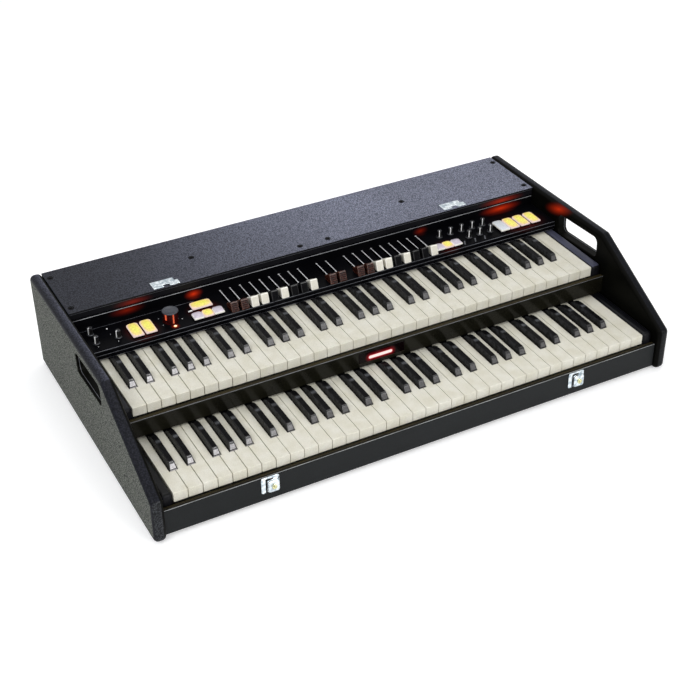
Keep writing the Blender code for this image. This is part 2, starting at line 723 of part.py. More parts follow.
def panel_outline():
    front = PANEL_FRONT
    top = PANEL_TOP
    points = [(front, top - PANEL_LIP)] + panel_bend(PANEL_BEND)
    points += [
        (PANEL_BACK, top),
        (PANEL_BACK, top + PANEL_UPSTAND),
        (PANEL_BACK + PANEL_SHEET, top + PANEL_UPSTAND),
        (PANEL_BACK + PANEL_SHEET, top - PANEL_SHEET),
    ]
    points += panel_bend(PANEL_BEND - PANEL_SHEET)[::-1] + [(front + PANEL_SHEET, top - PANEL_LIP)]
    return points[::-1]


def panel_bend(radius):
    # Arc of the front bend, from the lip to the top.
    points = []
    for step in range(ARC_STEPS + 1):
        angle = math.pi - step / ARC_STEPS * math.pi / 2
        y = PANEL_FRONT + PANEL_BEND + radius * math.cos(angle)
        points.append((y, PANEL_TOP - PANEL_BEND + radius * math.sin(angle)))
    return points


def drawbar_places(group):
    count = BASS_COUNT if group == "bass" else DRAWBAR_COUNT
    first = DRAWBAR_CENTRE[group] - (count - 1) / 2 * DRAWBAR_PITCH
    return [first + index * DRAWBAR_PITCH for index in range(count)]


def cap_profile(base):
    # Side view of a drawbar cap: leaning front, narrow crest, long slope down to a low back.
    return [
        (0.0, base),
        (CAP_BASE_DEPTH, base),
        (CAP_BACK, CAP_BACK_HEIGHT),
        (CAP_LEAN + CAP_CREST, CAP_HEIGHT - CAP_CREST_DROP),
        (CAP_LEAN, CAP_HEIGHT),
    ]


def add_cap(bm, x, y, base):
    outline = [(y + py, PANEL_TOP + pz) for py, pz in cap_profile(base)]
    slab_x(bm, outline, x - CAP_WIDTH / 2, x + CAP_WIDTH / 2)


def cap_look(group, index, looks):
    if group == "bass":
        return looks["brown_cap"]
    order = ("brown_cap", "brown_cap", "white_cap", "white_cap", "black_cap")
    order += ("white_cap", "black_cap", "black_cap", "white_cap")
    return looks[order[index]]


def tab_widths(width, depth):
    # Half width at each place along a tab: square at the front, rounded at its back corners.
    straight = depth - TAB_ROUND
    places = [(share * straight / 3 - depth / 2, width / 2) for share in range(3)]
    for step in range(ARC_STEPS + 1):
        angle = step / ARC_STEPS * math.pi / 2
        along = straight - depth / 2 + TAB_ROUND * math.sin(angle)
        places.append((along, width / 2 - TAB_ROUND * (1 - math.cos(angle))))
    return places


def add_tab(bm, place, width, depth, low):
    # Rocker tab with a crowned top, about the middle of its foot.
    x, y, z = place
    rings = []
    for along, half in tab_widths(width, depth):
        top = z + TAB_RISE - TAB_CROWN * (2 * along / depth) ** 2
        sides = ((-half, z + low), (half, z + low), (half, top), (-half, top))
        rings.append([(x + side, y + along, level) for side, level in sides])
    loft(bm, rings)


def panel_cutter(looks, datum):
    # Drawbar slots, the opening of the moving tab and the hole of the vibrato shaft.
    bm = bmesh.new()
    below = PANEL_TOP - 2 * PANEL_SHEET
    above = PANEL_TOP + PANEL_SHEET
    stem = CAP_FRONT + STEM_SETBACK
    for group in DRAWBAR_CENTRE:
        for x in drawbar_places(group):
            half = DRAWBAR_SLOT_WIDTH / 2
            box(bm, (x - half, x + half), (stem - SLIDE_GAP, PANEL_FRONT + SLOT_REACH), (below, above))
    opening = rectangle(TAB_WIDTH + 2 * TAB_SIDE_GAP, TAB_LENGTH + 2 * TAB_END_GAP, LONG_TAB_X[0], TAB_Y)
    slab_z(bm, opening, below, above)
    slab_z(bm, circle(VIBRATO_X, VIBRATO_Y, SHAFT_RADIUS + SHAFT_CLEARANCE, 16), below, above)
    return new_object("panel_openings", bm, looks["panel_metal"], (0.0, 0.0, 0.0), datum)


def fixed_tabs(looks, datum):
    # Tabs that are joined to the panel, grouped by colour.
    lit = bmesh.new()
    plain = bmesh.new()
    for index, x in enumerate(LONG_TAB_X[1:]):
        place = (x, TAB_Y, PANEL_TOP)
        add_tab(plain if index == 1 else lit, place, TAB_WIDTH, TAB_LENGTH, -SINK)
    add_tab(lit, (*CROSS_TAB, PANEL_TOP), CROSS_TAB_WIDTH, CROSS_TAB_DEPTH, -SINK)
    for x, y, pitch in SHORT_TAB_ROWS:
        for step in (-1, 0, 1):
            place = (x + step * pitch, y, PANEL_TOP)
            add_tab(plain if step else lit, place, pitch - 2 * GAP, SHORT_TAB_DEPTH, -SINK)
    return [
        new_object("lit_tab_shapes", lit, looks["lit_tab"], (0.0, 0.0, 0.0), datum),
        new_object("plain_tab_shapes", plain, looks["white_tab"], (0.0, 0.0, 0.0), datum),
    ]


def fixed_knobs(looks, datum):
    bm = bmesh.new()
    rounds = [
        (KNOB_SKIRT_RADIUS, PANEL_TOP - SINK),
        (KNOB_SKIRT_RADIUS, PANEL_TOP + KNOB_SKIRT),
        (KNOB_RADIUS, PANEL_TOP + KNOB_SKIRT + 0.001),
        (KNOB_RADIUS * 0.9, PANEL_TOP + KNOB_HEIGHT),
    ]
    for places, y in KNOB_ROWS:
        for x in places:
            stepped_round(bm, x, y, rounds, 12)
    return new_object("knob_shapes", bm, looks["knob"], (0.0, 0.0, 0.0), datum)


def fixed_caps(looks, datum):
    made = []
    shapes = {}
    for group in ("bass", "lower"):
        for index, x in enumerate(drawbar_places(group)):
            look = cap_look(group, index, looks)
            shapes.setdefault(look.name, bmesh.new())
            add_cap(shapes[look.name], x, CAP_FRONT, -SINK)
    for name, bm in shapes.items():
        made.append(new_object(f"{name}_shapes", bm, looks[name], (0.0, 0.0, 0.0), datum))
    return made


def make_control_panel(looks, datum):
    bm = bmesh.new()
    slab_x(bm, panel_outline(), -FIT_HALF, FIT_HALF)
    panel = new_object("control_panel", bm, looks["panel_metal"], (0.0, 0.0, 0.0), datum)
    apply_tool(panel, panel_cutter(looks, datum), "DIFFERENCE")
    for tool in fixed_tabs(looks, datum) + [fixed_knobs(looks, datum)] + fixed_caps(looks, datum):
        apply_tool(panel, tool, "UNION")


def make_drawbars(looks, datum):
    # Each drawbar is a cap, a stem through the panel's slot and a foot under the sheet.
    stem = (STEM_SETBACK, STEM_SETBACK + STEM_DEPTH)
    middle = STEM_SETBACK + STEM_DEPTH / 2
    under = -PANEL_SHEET - SLIDE_GAP
    for index, x in enumerate(drawbar_places("upper")):
        look = cap_look("upper", index, looks)
        place = (x, CAP_FRONT, PANEL_TOP)
        bm = bmesh.new()
        slab_x(bm, cap_profile(SLIDE_GAP), -CAP_WIDTH / 2, CAP_WIDTH / 2)
        name = f"upper_drawbar_{index + 1}"
        cap = new_object(name, bm, look, place, datum)
        tail = bmesh.new()
        box(tail, (-STEM_WIDTH / 2, STEM_WIDTH / 2), stem, (under - SINK, SLIDE_GAP + SINK))
        apply_tool(cap, new_object(f"{name}_stem", tail, looks["chrome"], place, datum), "UNION")
        foot = bmesh.new()
        width = (-DRAWBAR_FOOT_WIDTH / 2, DRAWBAR_FOOT_WIDTH / 2)
        depth = (middle - DRAWBAR_FOOT_DEPTH / 2, middle + DRAWBAR_FOOT_DEPTH / 2)
        box(foot, width, depth, (under - DRAWBAR_FOOT_HEIGHT, under))
        apply_tool(cap, new_object(f"{name}_foot", foot, looks["chrome"], place, datum), "UNION")


def make_moving_controls(looks, datum):
    bm = bmesh.new()
    add_tab(bm, (0.0, 0.0, 0.0), TAB_WIDTH, TAB_LENGTH, -TAB_DEPTH)
    place = (LONG_TAB_X[0], TAB_Y, PANEL_TOP)
    new_object("rocker_tab", bm, looks["lit_tab"], place, datum)
    bm = bmesh.new()
    rounds = [
        (SHAFT_RADIUS, -SHAFT_DROP),
        (SHAFT_RADIUS, SLIDE_GAP),
        (VIBRATO_RADIUS, SLIDE_GAP),
        (VIBRATO_RADIUS * 0.96, VIBRATO_HEIGHT - 0.001),
        (VIBRATO_RADIUS * 0.89, VIBRATO_HEIGHT),
    ]
    stepped_round(bm, 0.0, 0.0, rounds, 16)
    new_object("vibrato_knob", bm, looks["knob"], (VIBRATO_X, VIBRATO_Y, PANEL_TOP), datum)


# Fittings

def make_keeper(name, x, looks, datum):
    # Strike plate on the lid: stepped at one back corner and notched at its front edge.
    bm = bmesh.new()
    half = KEEPER_WIDTH / 2
    place = (x, LID_FRONT + KEEPER_SETBACK, LID_TOP + GAP)
    back = KEEPER_DEPTH
    notch = KEEPER_NOTCH / 2
    outline = [
        (-half, 0.0),
        (half, 0.0),
        (half, back - KEEPER_STEP_DEPTH),
        (half - KEEPER_STEP_WIDTH, back - KEEPER_STEP_DEPTH),
        (half - KEEPER_STEP_WIDTH, back),
        (-half, back),
    ]
    slab_z(bm, outline, 0.0, KEEPER_SHEET)
    keeper = new_object(name, bm, looks["chrome"], place, datum)
    hole = bmesh.new()
    box(hole, (-notch, notch), (-KEEPER_NOTCH_DEPTH, KEEPER_NOTCH_DEPTH), (-KEEPER_SHEET, 2 * KEEPER_SHEET))
    apply_tool(keeper, new_object(f"{name}_notch", hole, looks["chrome"], place, datum), "DIFFERENCE")


def make_catch(name, x, looks, datum):
    # Case catch on the front rail: plate, sprung lever and round lock.
    bm = bmesh.new()
    plate = rounded(rectangle(CATCH_WIDTH, CATCH_HEIGHT), CATCH_SHEET * 2)
    slab_y(bm, plate, -CATCH_SHEET, 0.0)
    place = (x, FRONT_RAIL_Y - GAP, CATCH_BOTTOM + CATCH_HEIGHT / 2)
    catch = new_object(name, bm, looks["chrome"], place, datum)
    lever = bmesh.new()
    shift_z = -CATCH_DROP
    outline = rounded(rectangle(CATCH_LEVER_WIDTH, CATCH_LEVER_HEIGHT, CATCH_SHIFT, shift_z), CATCH_LEVER_DEPTH)
    small = rounded(
        rectangle(CATCH_LEVER_WIDTH - 2 * CATCH_SHEET, CATCH_LEVER_HEIGHT - 2 * CATCH_SHEET, CATCH_SHIFT, shift_z),
        CATCH_LEVER_DEPTH - CATCH_SHEET,
    )
    face = -CATCH_SHEET - CATCH_LEVER_DEPTH
    rings = [(outline, -SINK), (outline, face + CATCH_SHEET), (small, face)]
    loft(lever, [[(px, y, pz) for px, pz in ring] for ring, y in rings])
    apply_tool(catch, new_object(f"{name}_lever", lever, looks["chrome"], place, datum), "UNION")
    lock = bmesh.new()
    slab_y(lock, circle(CATCH_SHIFT, shift_z, CATCH_LOCK_RADIUS, 12), face - CATCH_LOCK_DEPTH, face + SINK)
    apply_tool(catch, new_object(f"{name}_lock", lock, looks["chrome"], place, datum), "UNION")


def make_fittings(looks, datum):
    for side, sign in (("left", -1), ("right", 1)):
        x = sign * FITTING_X + FITTING_OFFSET
        make_keeper(f"lid_keeper_{side}", sign * KEEPER_X + KEEPER_OFFSET, looks, datum)
        make_catch(f"front_catch_{side}", x, looks, datum)


# Rear connectors and the circuit board

def connector_places():
    first = -PLATE_WIDTH / 2 + SOCKET_MARGIN
    jacks = [(first + index * JACK_PITCH, JACK_ROW_Z) for index in range(JACK_COUNT)]
    sockets = [(first + index * DIN_PITCH, -JACK_ROW_Z) for index in range(DIN_COUNT)]
    return jacks, sockets


def make_connector_plate(looks, datum):
    place = (PLATE_X, BACK_REAR + GAP, PLATE_Z)
    bm = bmesh.new()
    slab_y(bm, rectangle(PLATE_WIDTH, PLATE_HEIGHT), 0.0, PLATE_SHEET)
    plate = new_object("rear_connector_plate", bm, looks["plate_paint"], place, datum)
    proud = PLATE_SHEET + JACK_PROUD
    jacks, sockets = connector_places()
    collars = bmesh.new()
    bores = bmesh.new()
    for x, z in jacks:
        slab_y(collars, circle(x, z, JACK_RADIUS, 6), SINK, proud)
        slab_y(bores, circle(x, z, JACK_BORE, 8), -proud, 2 * proud)
    for x, z in sockets:
        slab_y(collars, circle(x, z, DIN_RADIUS, 16), SINK, PLATE_SHEET + SINK)
        slab_y(bores, circle(x, z, DIN_BORE, 12), -proud, 2 * proud)
    wall = rectangle(INLET_WIDTH + 2 * INLET_WALL, INLET_HEIGHT + 2 * INLET_WALL, INLET_X, INLET_Z)
    slab_y(collars, wall, -INLET_DEPTH, PLATE_SHEET + SINK)
    slab_y(bores, rectangle(INLET_WIDTH, INLET_HEIGHT, INLET_X, INLET_Z), -INLET_DEPTH + INLET_WALL, 2 * proud)
    window = (SWITCH_WIDTH + 2 * GAP, SWITCH_HEIGHT + 2 * SWITCH_CLEARANCE)
    slab_y(bores, rectangle(*window, INLET_X, SWITCH_Z), -proud, 2 * proud)
    apply_tool(plate, new_object("socket_collars", collars, looks["chrome"], place, datum), "UNION")
    apply_tool(plate, new_object("socket_bores", bores, looks["plate_paint"], place, datum), "DIFFERENCE")


def make_power_switch(looks, datum):
    # Rocker that turns about X in its window in the plate.
    bm = bmesh.new()
    half = SWITCH_HEIGHT / 2
    back = PLATE_SHEET + JACK_PROUD - GAP
    outline = [(-SWITCH_DEPTH / 2, -half), (back, -half), (back - 0.0012, 0.0), (back, half)]
    outline += [(-SWITCH_DEPTH / 2, half)]
    slab_x(bm, outline, -SWITCH_WIDTH / 2, SWITCH_WIDTH / 2)
    place = (PLATE_X + INLET_X, BACK_REAR + GAP, PLATE_Z + SWITCH_Z)
    new_object("power_switch", bm, looks["black_cap"], place, datum)


def make_circuit_board(looks, datum):
    place = (BOARD_X, BOARD_Y, FLOOR_Z + GAP)
    bm = bmesh.new()
    low = POST_HEIGHT
    high = low + BOARD_THICKNESS
    slab_z(bm, rectangle(BOARD_WIDTH, BOARD_DEPTH), low, high)
    board = new_object("main_circuit_board", bm, looks["board_green"], place, datum)
    posts = bmesh.new()
    for x in (-BOARD_WIDTH / 2 + POST_INSET, BOARD_WIDTH / 2 - POST_INSET):
        for y in (-BOARD_DEPTH / 2 + POST_INSET, BOARD_DEPTH / 2 - POST_INSET):
            slab_z(posts, circle(x, y, POST_RADIUS, 10), 0.0, low + SINK)
    apply_tool(board, new_object("board_posts", posts, looks["chrome"], place, datum), "UNION")
    parts = bmesh.new()
    for x, y, width, depth, height in BOARD_PARTS:
        slab_z(parts, rectangle(width, depth, x, y), high - SINK, high + height)
    apply_tool(board, new_object("board_parts", parts, looks["knob"], place, datum), "UNION")


def clear_scene():
    for item in list(bpy.data.objects):
        bpy.data.objects.remove(item, do_unlink=True)


def make_datum():
    datum = bpy.data.objects.new("case_datum", None)
    datum.location = (0.0, -CASE_DEPTH / 2, FOOT_LIFT)
    bpy.context.collection.objects.link(datum)
    return datum


def main():
    clear_scene()
    looks = make_materials()
    datum = make_datum()
    for side, sign in (("left", -1), ("right", 1)):
        make_side_panel(f"{side}_side_panel", sign, looks, datum)
        make_cheek(f"{side}_cheek", sign, looks, datum)
    make_base_board(looks, datum)
    make_front_rail(looks, datum)
    make_middle_rail(looks, datum)
    make_back_panel(looks, datum)
    make_lid(looks, datum)
    for manual, front, top in (("lower", LOWER_FRONT, LOWER_TOP), ("upper", UPPER_FRONT, UPPER_TOP)):
        make_key_frame(manual, front, top, looks, datum)
        make_joined_keys(manual, front, top, looks, datum)
        make_playing_keys(manual, front, top, looks, datum)
    make_control_panel(looks, datum)
    make_drawbars(looks, datum)
    make_moving_controls(looks, datum)
    make_fittings(looks, datum)
    make_connector_plate(looks, datum)
    make_power_switch(looks, datum)
    make_circuit_board(looks, datum)


main()
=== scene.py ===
# Looks of a portable two-manual organ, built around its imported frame.
# Pieces are drawn in millimetres from the front lower edge of the side panels;
# toFrame carries them to the frame's metres.

import math

import bmesh
import bpy
from mathutils import Matrix, Vector
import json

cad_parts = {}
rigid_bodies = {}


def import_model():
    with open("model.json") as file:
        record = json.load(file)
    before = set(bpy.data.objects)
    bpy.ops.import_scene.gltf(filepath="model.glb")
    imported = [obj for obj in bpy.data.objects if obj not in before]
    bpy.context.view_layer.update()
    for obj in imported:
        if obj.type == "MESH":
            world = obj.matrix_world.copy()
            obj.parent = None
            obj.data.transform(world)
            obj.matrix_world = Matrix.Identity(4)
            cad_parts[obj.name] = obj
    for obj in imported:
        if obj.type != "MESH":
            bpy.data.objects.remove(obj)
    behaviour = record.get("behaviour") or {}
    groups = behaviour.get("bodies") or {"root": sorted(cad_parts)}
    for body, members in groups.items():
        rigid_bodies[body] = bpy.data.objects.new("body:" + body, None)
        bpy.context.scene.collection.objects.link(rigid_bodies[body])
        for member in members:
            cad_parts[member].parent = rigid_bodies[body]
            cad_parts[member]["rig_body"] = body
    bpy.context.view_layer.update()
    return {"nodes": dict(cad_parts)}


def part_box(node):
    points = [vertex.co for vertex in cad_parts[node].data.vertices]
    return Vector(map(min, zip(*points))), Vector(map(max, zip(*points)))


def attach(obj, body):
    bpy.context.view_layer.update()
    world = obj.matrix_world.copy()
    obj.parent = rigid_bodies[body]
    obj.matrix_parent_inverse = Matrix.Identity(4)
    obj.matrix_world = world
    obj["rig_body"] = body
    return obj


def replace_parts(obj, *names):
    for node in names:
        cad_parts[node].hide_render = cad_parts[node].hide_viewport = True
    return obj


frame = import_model()
toFrame = Matrix.Diagonal((0.001, 0.001, 0.001, 1.0)) @ Matrix.Translation((0.0, -266.0, 3.0))
print("frame loaded:", len(frame["nodes"]), "nodes")


def newObject(name, data):
    made = bpy.data.objects.new(name, data)
    bpy.context.scene.collection.objects.link(made)
    return made


# Camera: where the photographer stood

cameraLook = {
    "place": (-0.889481, -1.675350, 1.335308),
    "down": 0.602,  # radians below the horizon
    "turn": -0.487,
    "roll": -0.009,
    "lens": 69.363,
}


def makeCamera(look):
    down, turn, roll = look["down"], look["turn"], look["roll"]
    ahead = Vector((-math.sin(turn) * math.cos(down), math.cos(turn) * math.cos(down), -math.sin(down)))
    level = Vector((math.cos(turn), math.sin(turn), 0.0))
    upright = level.cross(ahead)
    right = math.cos(roll) * level + math.sin(roll) * upright
    up = -math.sin(roll) * level + math.cos(roll) * upright
    data = bpy.data.cameras.new("photoCamera")
    data.sensor_width = 36.0
    data.lens = look["lens"]
    data.clip_start = 0.05
    camera = newObject("photoCamera", data)
    axes = Matrix((right, up, -ahead)).transposed().to_4x4()
    camera.matrix_world = Matrix.Translation(look["place"]) @ axes
    bpy.context.scene.camera = camera


makeCamera(cameraLook)
print("camera set")


# Helpers for materials

def linear(hexColour):
    # sRGB hex to the linear colour that the shaders take
    shares = [int(hexColour[start:start + 2], 16) / 255 for start in (1, 3, 5)]
    return (*[s / 12.92 if s <= 0.04045 else ((s + 0.055) / 1.055) ** 2.4 for s in shares], 1.0)


def addNode(tree, kind, settings=None, links=None):
    # settings name an input or a property, links name an input and the socket that feeds it
    node = tree.nodes.new(kind)
    for key, value in (settings or {}).items():
        if isinstance(key, str) and hasattr(node, key):
            setattr(node, key, value)
    for key, value in (settings or {}).items():
        if isinstance(key, int) or not hasattr(node, key):
            node.inputs[key].default_value = value
    for key, source in (links or {}).items():
        tree.links.new(source, node.inputs[key])
    return node


def feed(tree, node, key, value):
    # an input takes a socket, an sRGB hex or a plain value
    if isinstance(value, bpy.types.NodeSocket):
        tree.links.new(value, node.inputs[key])
    else:
        node.inputs[key].default_value = linear(value) if isinstance(value, str) else value


def newMaterial(name, settings):
    # a principled shader with its constant settings, and coordinates in the object's metres
    made = bpy.data.materials.new(name)
    made.use_nodes = True
    tree = made.node_tree
    shader = tree.nodes["Principled BSDF"]
    for key, value in settings.items():
        feed(tree, shader, key, value)
    return made, tree, shader, addNode(tree, "ShaderNodeTexCoord")


def maths(tree, operation, *values, kind="ShaderNodeMath"):
    node = addNode(tree, kind, {"operation": operation})
    for index, value in enumerate(values):
        feed(tree, node, index, value)
    return node.outputs["Value" if operation == "LENGTH" else 0]


def vectorMaths(tree, operation, *values):
    return maths(tree, operation, *values, kind="ShaderNodeVectorMath")


def apart(tree, vector):
    return addNode(tree, "ShaderNodeSeparateXYZ", {}, {0: vector}).outputs


def scaled(tree, colour, factor):
    made = addNode(tree, "ShaderNodeVectorMath", {"operation": "SCALE"}, {0: colour, "Scale": factor})
    return made.outputs[0]


def blended(tree, first, second, share):
    made = addNode(tree, "ShaderNodeMix", {"data_type": "RGBA"}, {0: share})
    feed(tree, made, 6, first)
    feed(tree, made, 7, second)
    return made.outputs[2]


def ranged(tree, value, *ends, **extra):
    # ends are from low, from high, to low, to high
    made = addNode(tree, "ShaderNodeMapRange", {**dict(enumerate(ends, 1)), **extra}, {0: value})
    return made.outputs[0]


def eased(tree, value, *ends):
    return ranged(tree, value, *ends, interpolation_type="SMOOTHSTEP")


def noise(tree, here, size, detail):
    # cloudy noise whose patches are about size millimetres across
    made = addNode(tree, "ShaderNodeTexNoise", {"Scale": 1000 / size, "Detail": detail}, {"Vector": here})
    return made.outputs["Fac"]


def finishOff(tree, shader, here, colour, fades, gloss, relief):
    # fades change the shade along an axis (0 to 2 for X to Z), between two places in millimetres;
    # relief is a height, whether it is turned over, and its depth in millimetres
    for axis, start, end, low, high in fades:
        factor = eased(tree, apart(tree, here)[axis], start / 1000, end / 1000, low, high)
        colour = scaled(tree, colour, factor)
    tree.links.new(colour, shader.inputs["Base Color"])
    patches, rough, uneven = gloss
    gloss = ranged(tree, patches, 0.3, 0.7, rough - uneven, rough + uneven)
    tree.links.new(gloss, shader.inputs["Roughness"])
    height, invert, depth = relief
    settings = {"invert": invert, "Strength": 1.0, "Distance": depth / 1000}
    bump = addNode(tree, "ShaderNodeBump", settings, {"Height": height})
    tree.links.new(bump.outputs[0], shader.inputs["Normal"])


def mottled(name, row, metallic=0.0):
    # patches of a second shade, a fine grain in colour and height, and uneven gloss
    first, second, (patch, fine, speckle), (rough, uneven, depth), level, *extra = row
    extra = extra[0] if extra else {}
    made, tree, shader, place = newMaterial(name, {"Metallic": metallic, "Specular IOR Level": level})
    here = place.outputs["Object"]
    patches = noise(tree, here, patch, 3.0)
    grain = noise(tree, here, fine, 2.0)
    shade = blended(tree, first, second, ranged(tree, patches, 0.35, 0.65, 0.0, 1.0))
    shade = scaled(tree, shade, ranged(tree, grain, 0.35, 0.65, 1.0 - speckle, 1.0 + speckle))
    if "rib" in extra:
        # ribs across one axis, in height, and in colour as painted light and shade along them
        axis, width, share = extra["rib"]
        settings = {"bands_direction": axis, "Scale": 314.2 / width}
        ribs = addNode(tree, "ShaderNodeTexWave", settings, {"Vector": here}).outputs["Fac"]
        grain = maths(tree, "ADD", grain, ribs)
        shade = scaled(tree, shade, ranged(tree, ribs, 0.0, 1.0, 1.0 - share, 1.0 + share))
    if "band" in extra:
        # a painted glint: a paler band across Y, where the surface turns towards the room
        middle, half, paler = extra["band"]
        off = maths(tree, "ABSOLUTE", maths(tree, "SUBTRACT", apart(tree, here)[1], middle / 1000))
        near = maths(tree, "MULTIPLY", eased(tree, off, 0.0, half / 1000, 1.0, 0.0), patches)
        shade = blended(tree, shade, paler, near)
    fades = extra.get("fades", ())
    finishOff(tree, shader, here, shade, fades, (patches, rough, uneven), (grain, False, depth))
    return made


def pebbled(name, row):
    # raised round pebbles with darker valleys between them
    crest, valley, (pebble, crumb, cloud, drift), (rough, uneven, depth), level, *extra = row
    fades = extra[0]["fades"] if extra else ()
    made, tree, shader, place = newMaterial(name, {"Specular IOR Level": level})
    here = place.outputs["Object"]
    settings = {"feature": "SMOOTH_F1", "Scale": 1000 / pebble, "Smoothness": 0.6}
    pebbles = addNode(tree, "ShaderNodeTexVoronoi", settings, {"Vector": here})
    clouds = noise(tree, here, cloud, 4.0)
    mixed = maths(tree, "MULTIPLY_ADD", noise(tree, here, crumb, 2.0), 0.6, pebbles.outputs["Distance"])
    shade = blended(tree, crest, valley, ranged(tree, mixed, 0.35, 0.95, 0.0, 1.0))
    shade = scaled(tree, shade, ranged(tree, clouds, 0.3, 0.7, 1.0 - drift, 1.0 + drift))
    finishOff(tree, shader, here, shade, fades, (clouds, rough, uneven), (mixed, True, depth))
    return made


# Finishes. Each says what the eye gets from it. The numbers after the two colours are:
# sizes in millimetres and how strong the fine pattern is; roughness, how uneven it is and the
# relief in millimetres; the specular level, 0.5 where it is the shader's own.

pebbledLook = {
    # crest and valley, (pebble, crumb, cloud, drift of the shade)
    # structure paint, rolled on thick: a dry grey pebble, drawn at 2.1 mm because the real
    # one is finer than a pixel; the eye reads it as rough and light-swallowing. The paint is black
    # like the edges; its grey is a painted sheen, where light skims the outer faces and the back
    "structurePaint": ("#888c82", "#0f110e", (2.1, 1.2, 90.0, 0.14), (0.72, 0.06, 0.45), 0.22),
    # structure paint on the lid: bluer and a little glossier, with a painted highlight that makes it
    # paler to the right where the room light skims it, so the flat top doesn't look like one cut-out shape
    "lidPaint": (
        "#9a9db0", "#545763", (2.0, 1.3, 160.0, 0.12), (0.55, 0.06, 0.30), 0.10,
        {"fades": ((0, -430.0, 200.0, 0.14, 1.0),)},
    ),
    # lacquer rolled over the same structure, on top of the side panels' rounded edges: blue-grey,
    # with a painted sheen along the left panel's inner side and painted shade on the right panel
    "bullLacquer": (
        "#484a56", "#25262e", (2.4, 1.4, 60.0, 0.16), (0.34, 0.06, 0.12), 0.06,
        {"fades": ((0, -463.0, -442.0, 0.30, 2.1), (0, -440.0, -380.0, 1.0, 0.14))},
    ),
    # the same lacquer on the slope, in painted shade as it faces away from the lamps: navy, almost
    # black, darker still on the right panel
    "slopeLacquer": (
        "#25262e", "#0f1015", (2.4, 1.4, 60.0, 0.16), (0.34, 0.06, 0.12), 0.08,
        {"fades": ((0, -440.0, -380.0, 1.0, 0.5),)},
    ),
    # the same lacquer on the front end, where it lies thicker: a dark grain like orange peel, in
    # painted shade that is deepest on the right panel
    "frontLacquer": (
        "#45474b", "#17181a", (2.4, 1.4, 60.0, 0.16), (0.40, 0.06, 0.15), 0.10,
        {"fades": ((0, -440.0, -380.0, 1.0, 0.22),)},
    ),
}

